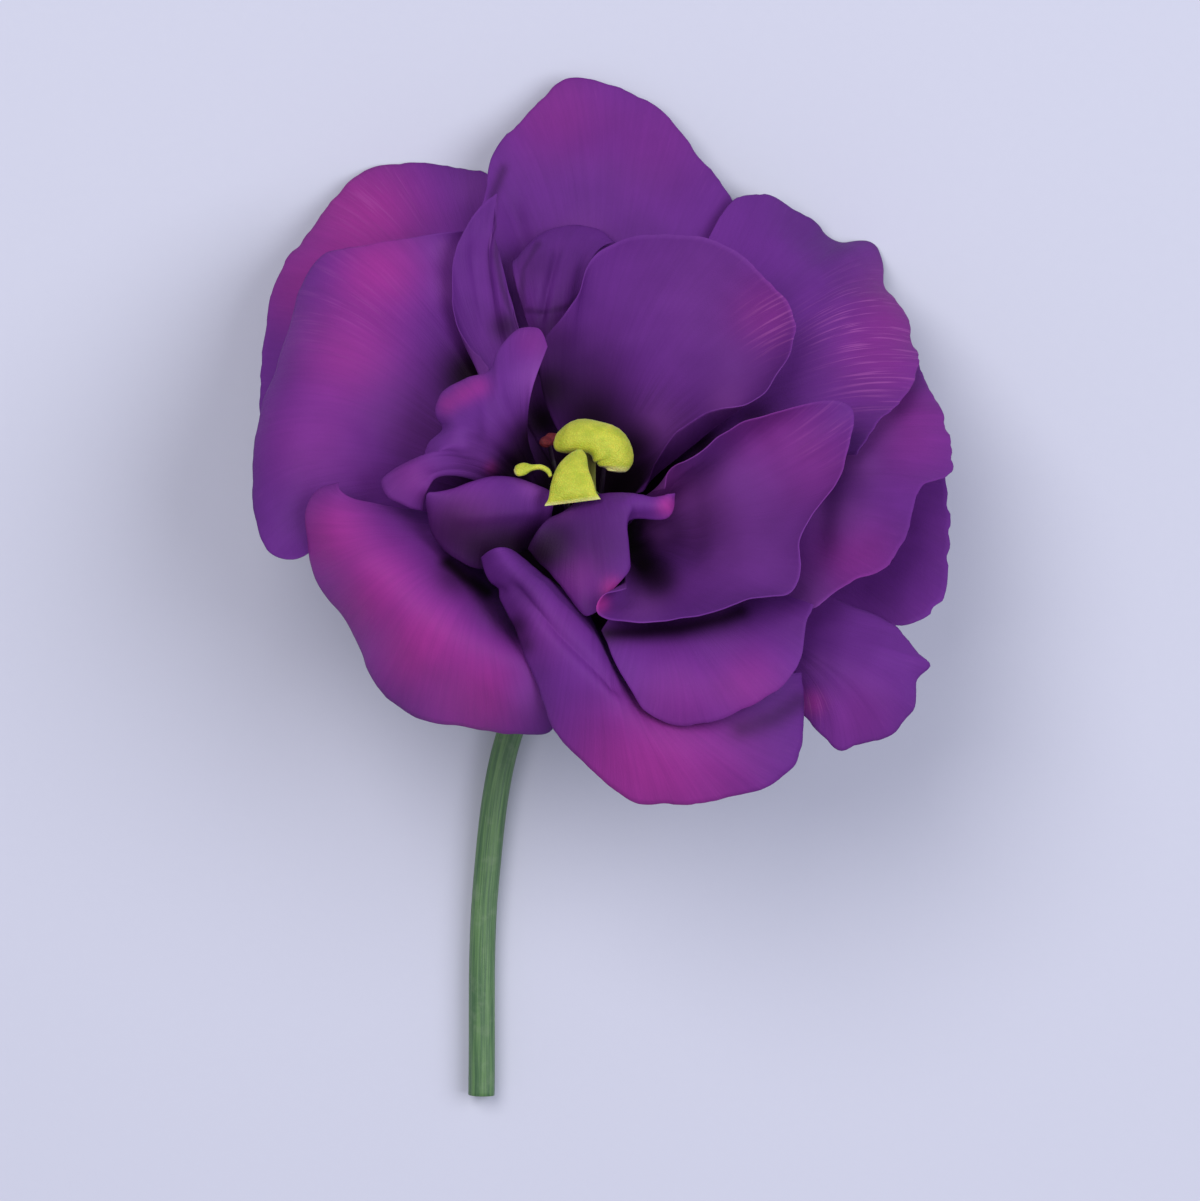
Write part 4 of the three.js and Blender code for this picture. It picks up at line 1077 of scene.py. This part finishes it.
def stigma_material():
    """Velvety yellow-green lobes of fine papillae, paler at the ends."""
    look = Look("stigma_velvet")
    place = look.attribute("place", "Vector")
    along = look.attribute("along")
    warm = look.noise(place, 0.6, 3.0, 0.6)
    papillae = look.node("ShaderNodeTexVoronoi", {
        "Vector": place, "Scale": 5.5,
    }).outputs["Distance"]
    colour = look.mix(look.range(warm, 0.35, 0.7), (0.42, 0.48, 0.02), (0.6, 0.61, 0.045))
    colour = look.mix(look.range(along, 0.93, 0.99, 0.0, 0.8), colour, (0.8, 0.74, 0.3))
    colour = look.mix(look.range(papillae, 0.25, 0.6, 0.0, 0.3), colour, (0.25, 0.3, 0.015))
    normal = look.bump(look.math("SUBTRACT", 1.0, papillae), 0.0001, 0.6)
    roughness = look.range(papillae, 0.1, 0.6, 0.5, 0.65)
    skin = look.principled(
        colour, roughness, normal, Sheen_Weight=0.15, Sheen_Roughness=0.4,
        Subsurface_Weight=0.2, Subsurface_Scale=0.0012,
    )
    return look.finish(skin)


def anther_material():
    look = Look("anther_pollen")
    place = look.attribute("place", "Vector")
    grains = look.node("ShaderNodeTexVoronoi", {
        "Vector": place, "Scale": 8.0,
    }).outputs["Distance"]
    warm = look.noise(place, 1.1, 3.0, 0.6)
    colour = look.mix(look.range(warm, 0.35, 0.65), (0.22, 0.01, 0.02), (0.34, 0.035, 0.035))
    colour = look.mix(look.range(grains, 0.3, 0.6, 0.0, 0.5), colour, (0.07, 0.008, 0.014))
    normal = look.bump(grains, 0.0001, 0.7)
    return look.finish(look.principled(colour, look.range(warm, 0.3, 0.7, 0.6, 0.8), normal))


def floor_material():
    look = Look("floor_card")
    place = look.node("ShaderNodeTexCoord").outputs["Object"]
    soft = look.noise(place, 3.0, 2.0, 0.5)
    grain = look.noise(place, 900.0, 2.0, 0.5)
    colour = look.mix(look.range(soft, 0.3, 0.7), (0.56, 0.57, 0.68), (0.58, 0.59, 0.7))
    normal = look.bump(grain, 0.0001, 0.1)
    return look.finish(look.principled(colour, look.range(grain, 0.3, 0.7, 0.75, 0.85), normal))


# ---- studio

def add_light(name, direction, distance, size, power, colour):
    light = bpy.data.lights.new(name, "AREA")
    light.shape = "DISK"
    light.size = size
    light.energy = power
    light.color = colour
    lamp = bpy.data.objects.new(name, light)
    way = Vector(direction).normalized()
    lamp.location = way * distance + Vector(LIGHTS_AIM)
    lamp.rotation_mode = "QUATERNION"
    lamp.rotation_quaternion = way.to_track_quat("Z", "Y")
    bpy.context.scene.collection.objects.link(lamp)


def studio():
    mesh = bpy.data.meshes.new("floor")
    corners = [(x * FLOOR_HALF, y * FLOOR_HALF, 0) for x, y in ((-1, -1), (1, -1), (1, 1), (-1, 1))]
    mesh.from_pydata(corners, [], [(0, 1, 2, 3)])
    floor = bpy.data.objects.new("floor", mesh)
    floor.data.materials.append(floor_material())
    bpy.context.scene.collection.objects.link(floor)
    for name, settings in LIGHTS.items():
        add_light(name, *settings)
    world = bpy.data.worlds.new("soft_room")
    world.use_nodes = True
    background = world.node_tree.nodes["Background"]
    background.inputs["Color"].default_value = (0.8, 0.84, 1.0, 1)
    background.inputs["Strength"].default_value = 0.4
    bpy.context.scene.world = world
    bpy.context.scene.view_settings.view_transform = "Standard"


def camera():
    lens = bpy.data.cameras.new("camera")
    lens.lens = CAMERA_LENS
    lens.sensor_width = SENSOR
    lens.clip_start = 0.05
    lens.clip_end = 20
    eye = bpy.data.objects.new("camera", lens)
    back = Vector(CAMERA_BACK).normalized()
    middle = Vector((cad_low + cad_high) / 2)
    eye.location = middle + back * (FRAME_HEIGHT * MM / 2 * CAMERA_LENS / (SENSOR / 2))
    right = Vector((0, 1, 0)).cross(back).normalized()
    eye.rotation_mode = "QUATERNION"
    eye.rotation_quaternion = Matrix((right, back.cross(right), back)).transposed().to_quaternion()
    bpy.context.scene.collection.objects.link(eye)
    bpy.context.scene.camera = eye


# ---- the blossom

skin = petal_material()
for number, (petal_name, petal_shape) in enumerate(PETALS.items()):
    petal_piece(petal_name, petal_shape, 10 * number + 3, skin)

cup_skin = stalk_material("receptacle_skin", (0.08, 0.17, 0.045), (0.19, 0.3, 0.08), 60.0)
receptacle_piece(cup_skin)
sepal_skin = sepal_material()
for number, (direction, tip) in enumerate(SEPALS):
    sepal_piece(number, direction, tip, sepal_skin)
stalk_skin = stalk_material("pedicel_skin", (0.045, 0.12, 0.045), (0.1, 0.21, 0.07), 40.0, True)
pedicel_piece(stalk_skin)

pistil_pieces(
    stalk_material("ovary_skin", (0.15, 0.23, 0.04), (0.27, 0.36, 0.06), 24.0),
    stalk_material("style_skin", (0.23, 0.3, 0.04), (0.38, 0.44, 0.07), 20.0),
    stigma_material(),
)
# The filaments are a near-black purple, darker than their own colour: painted shade of the throat.
filament_skin = stalk_material("filament_skin", (0.02, 0.01, 0.03), (0.06, 0.03, 0.07), 12.0)
anther_skin = anther_material()
for number, (direction, anther) in enumerate(STAMENS):
    stamen_pieces(number, direction, anther, filament_skin, anther_skin)

studio()
camera()
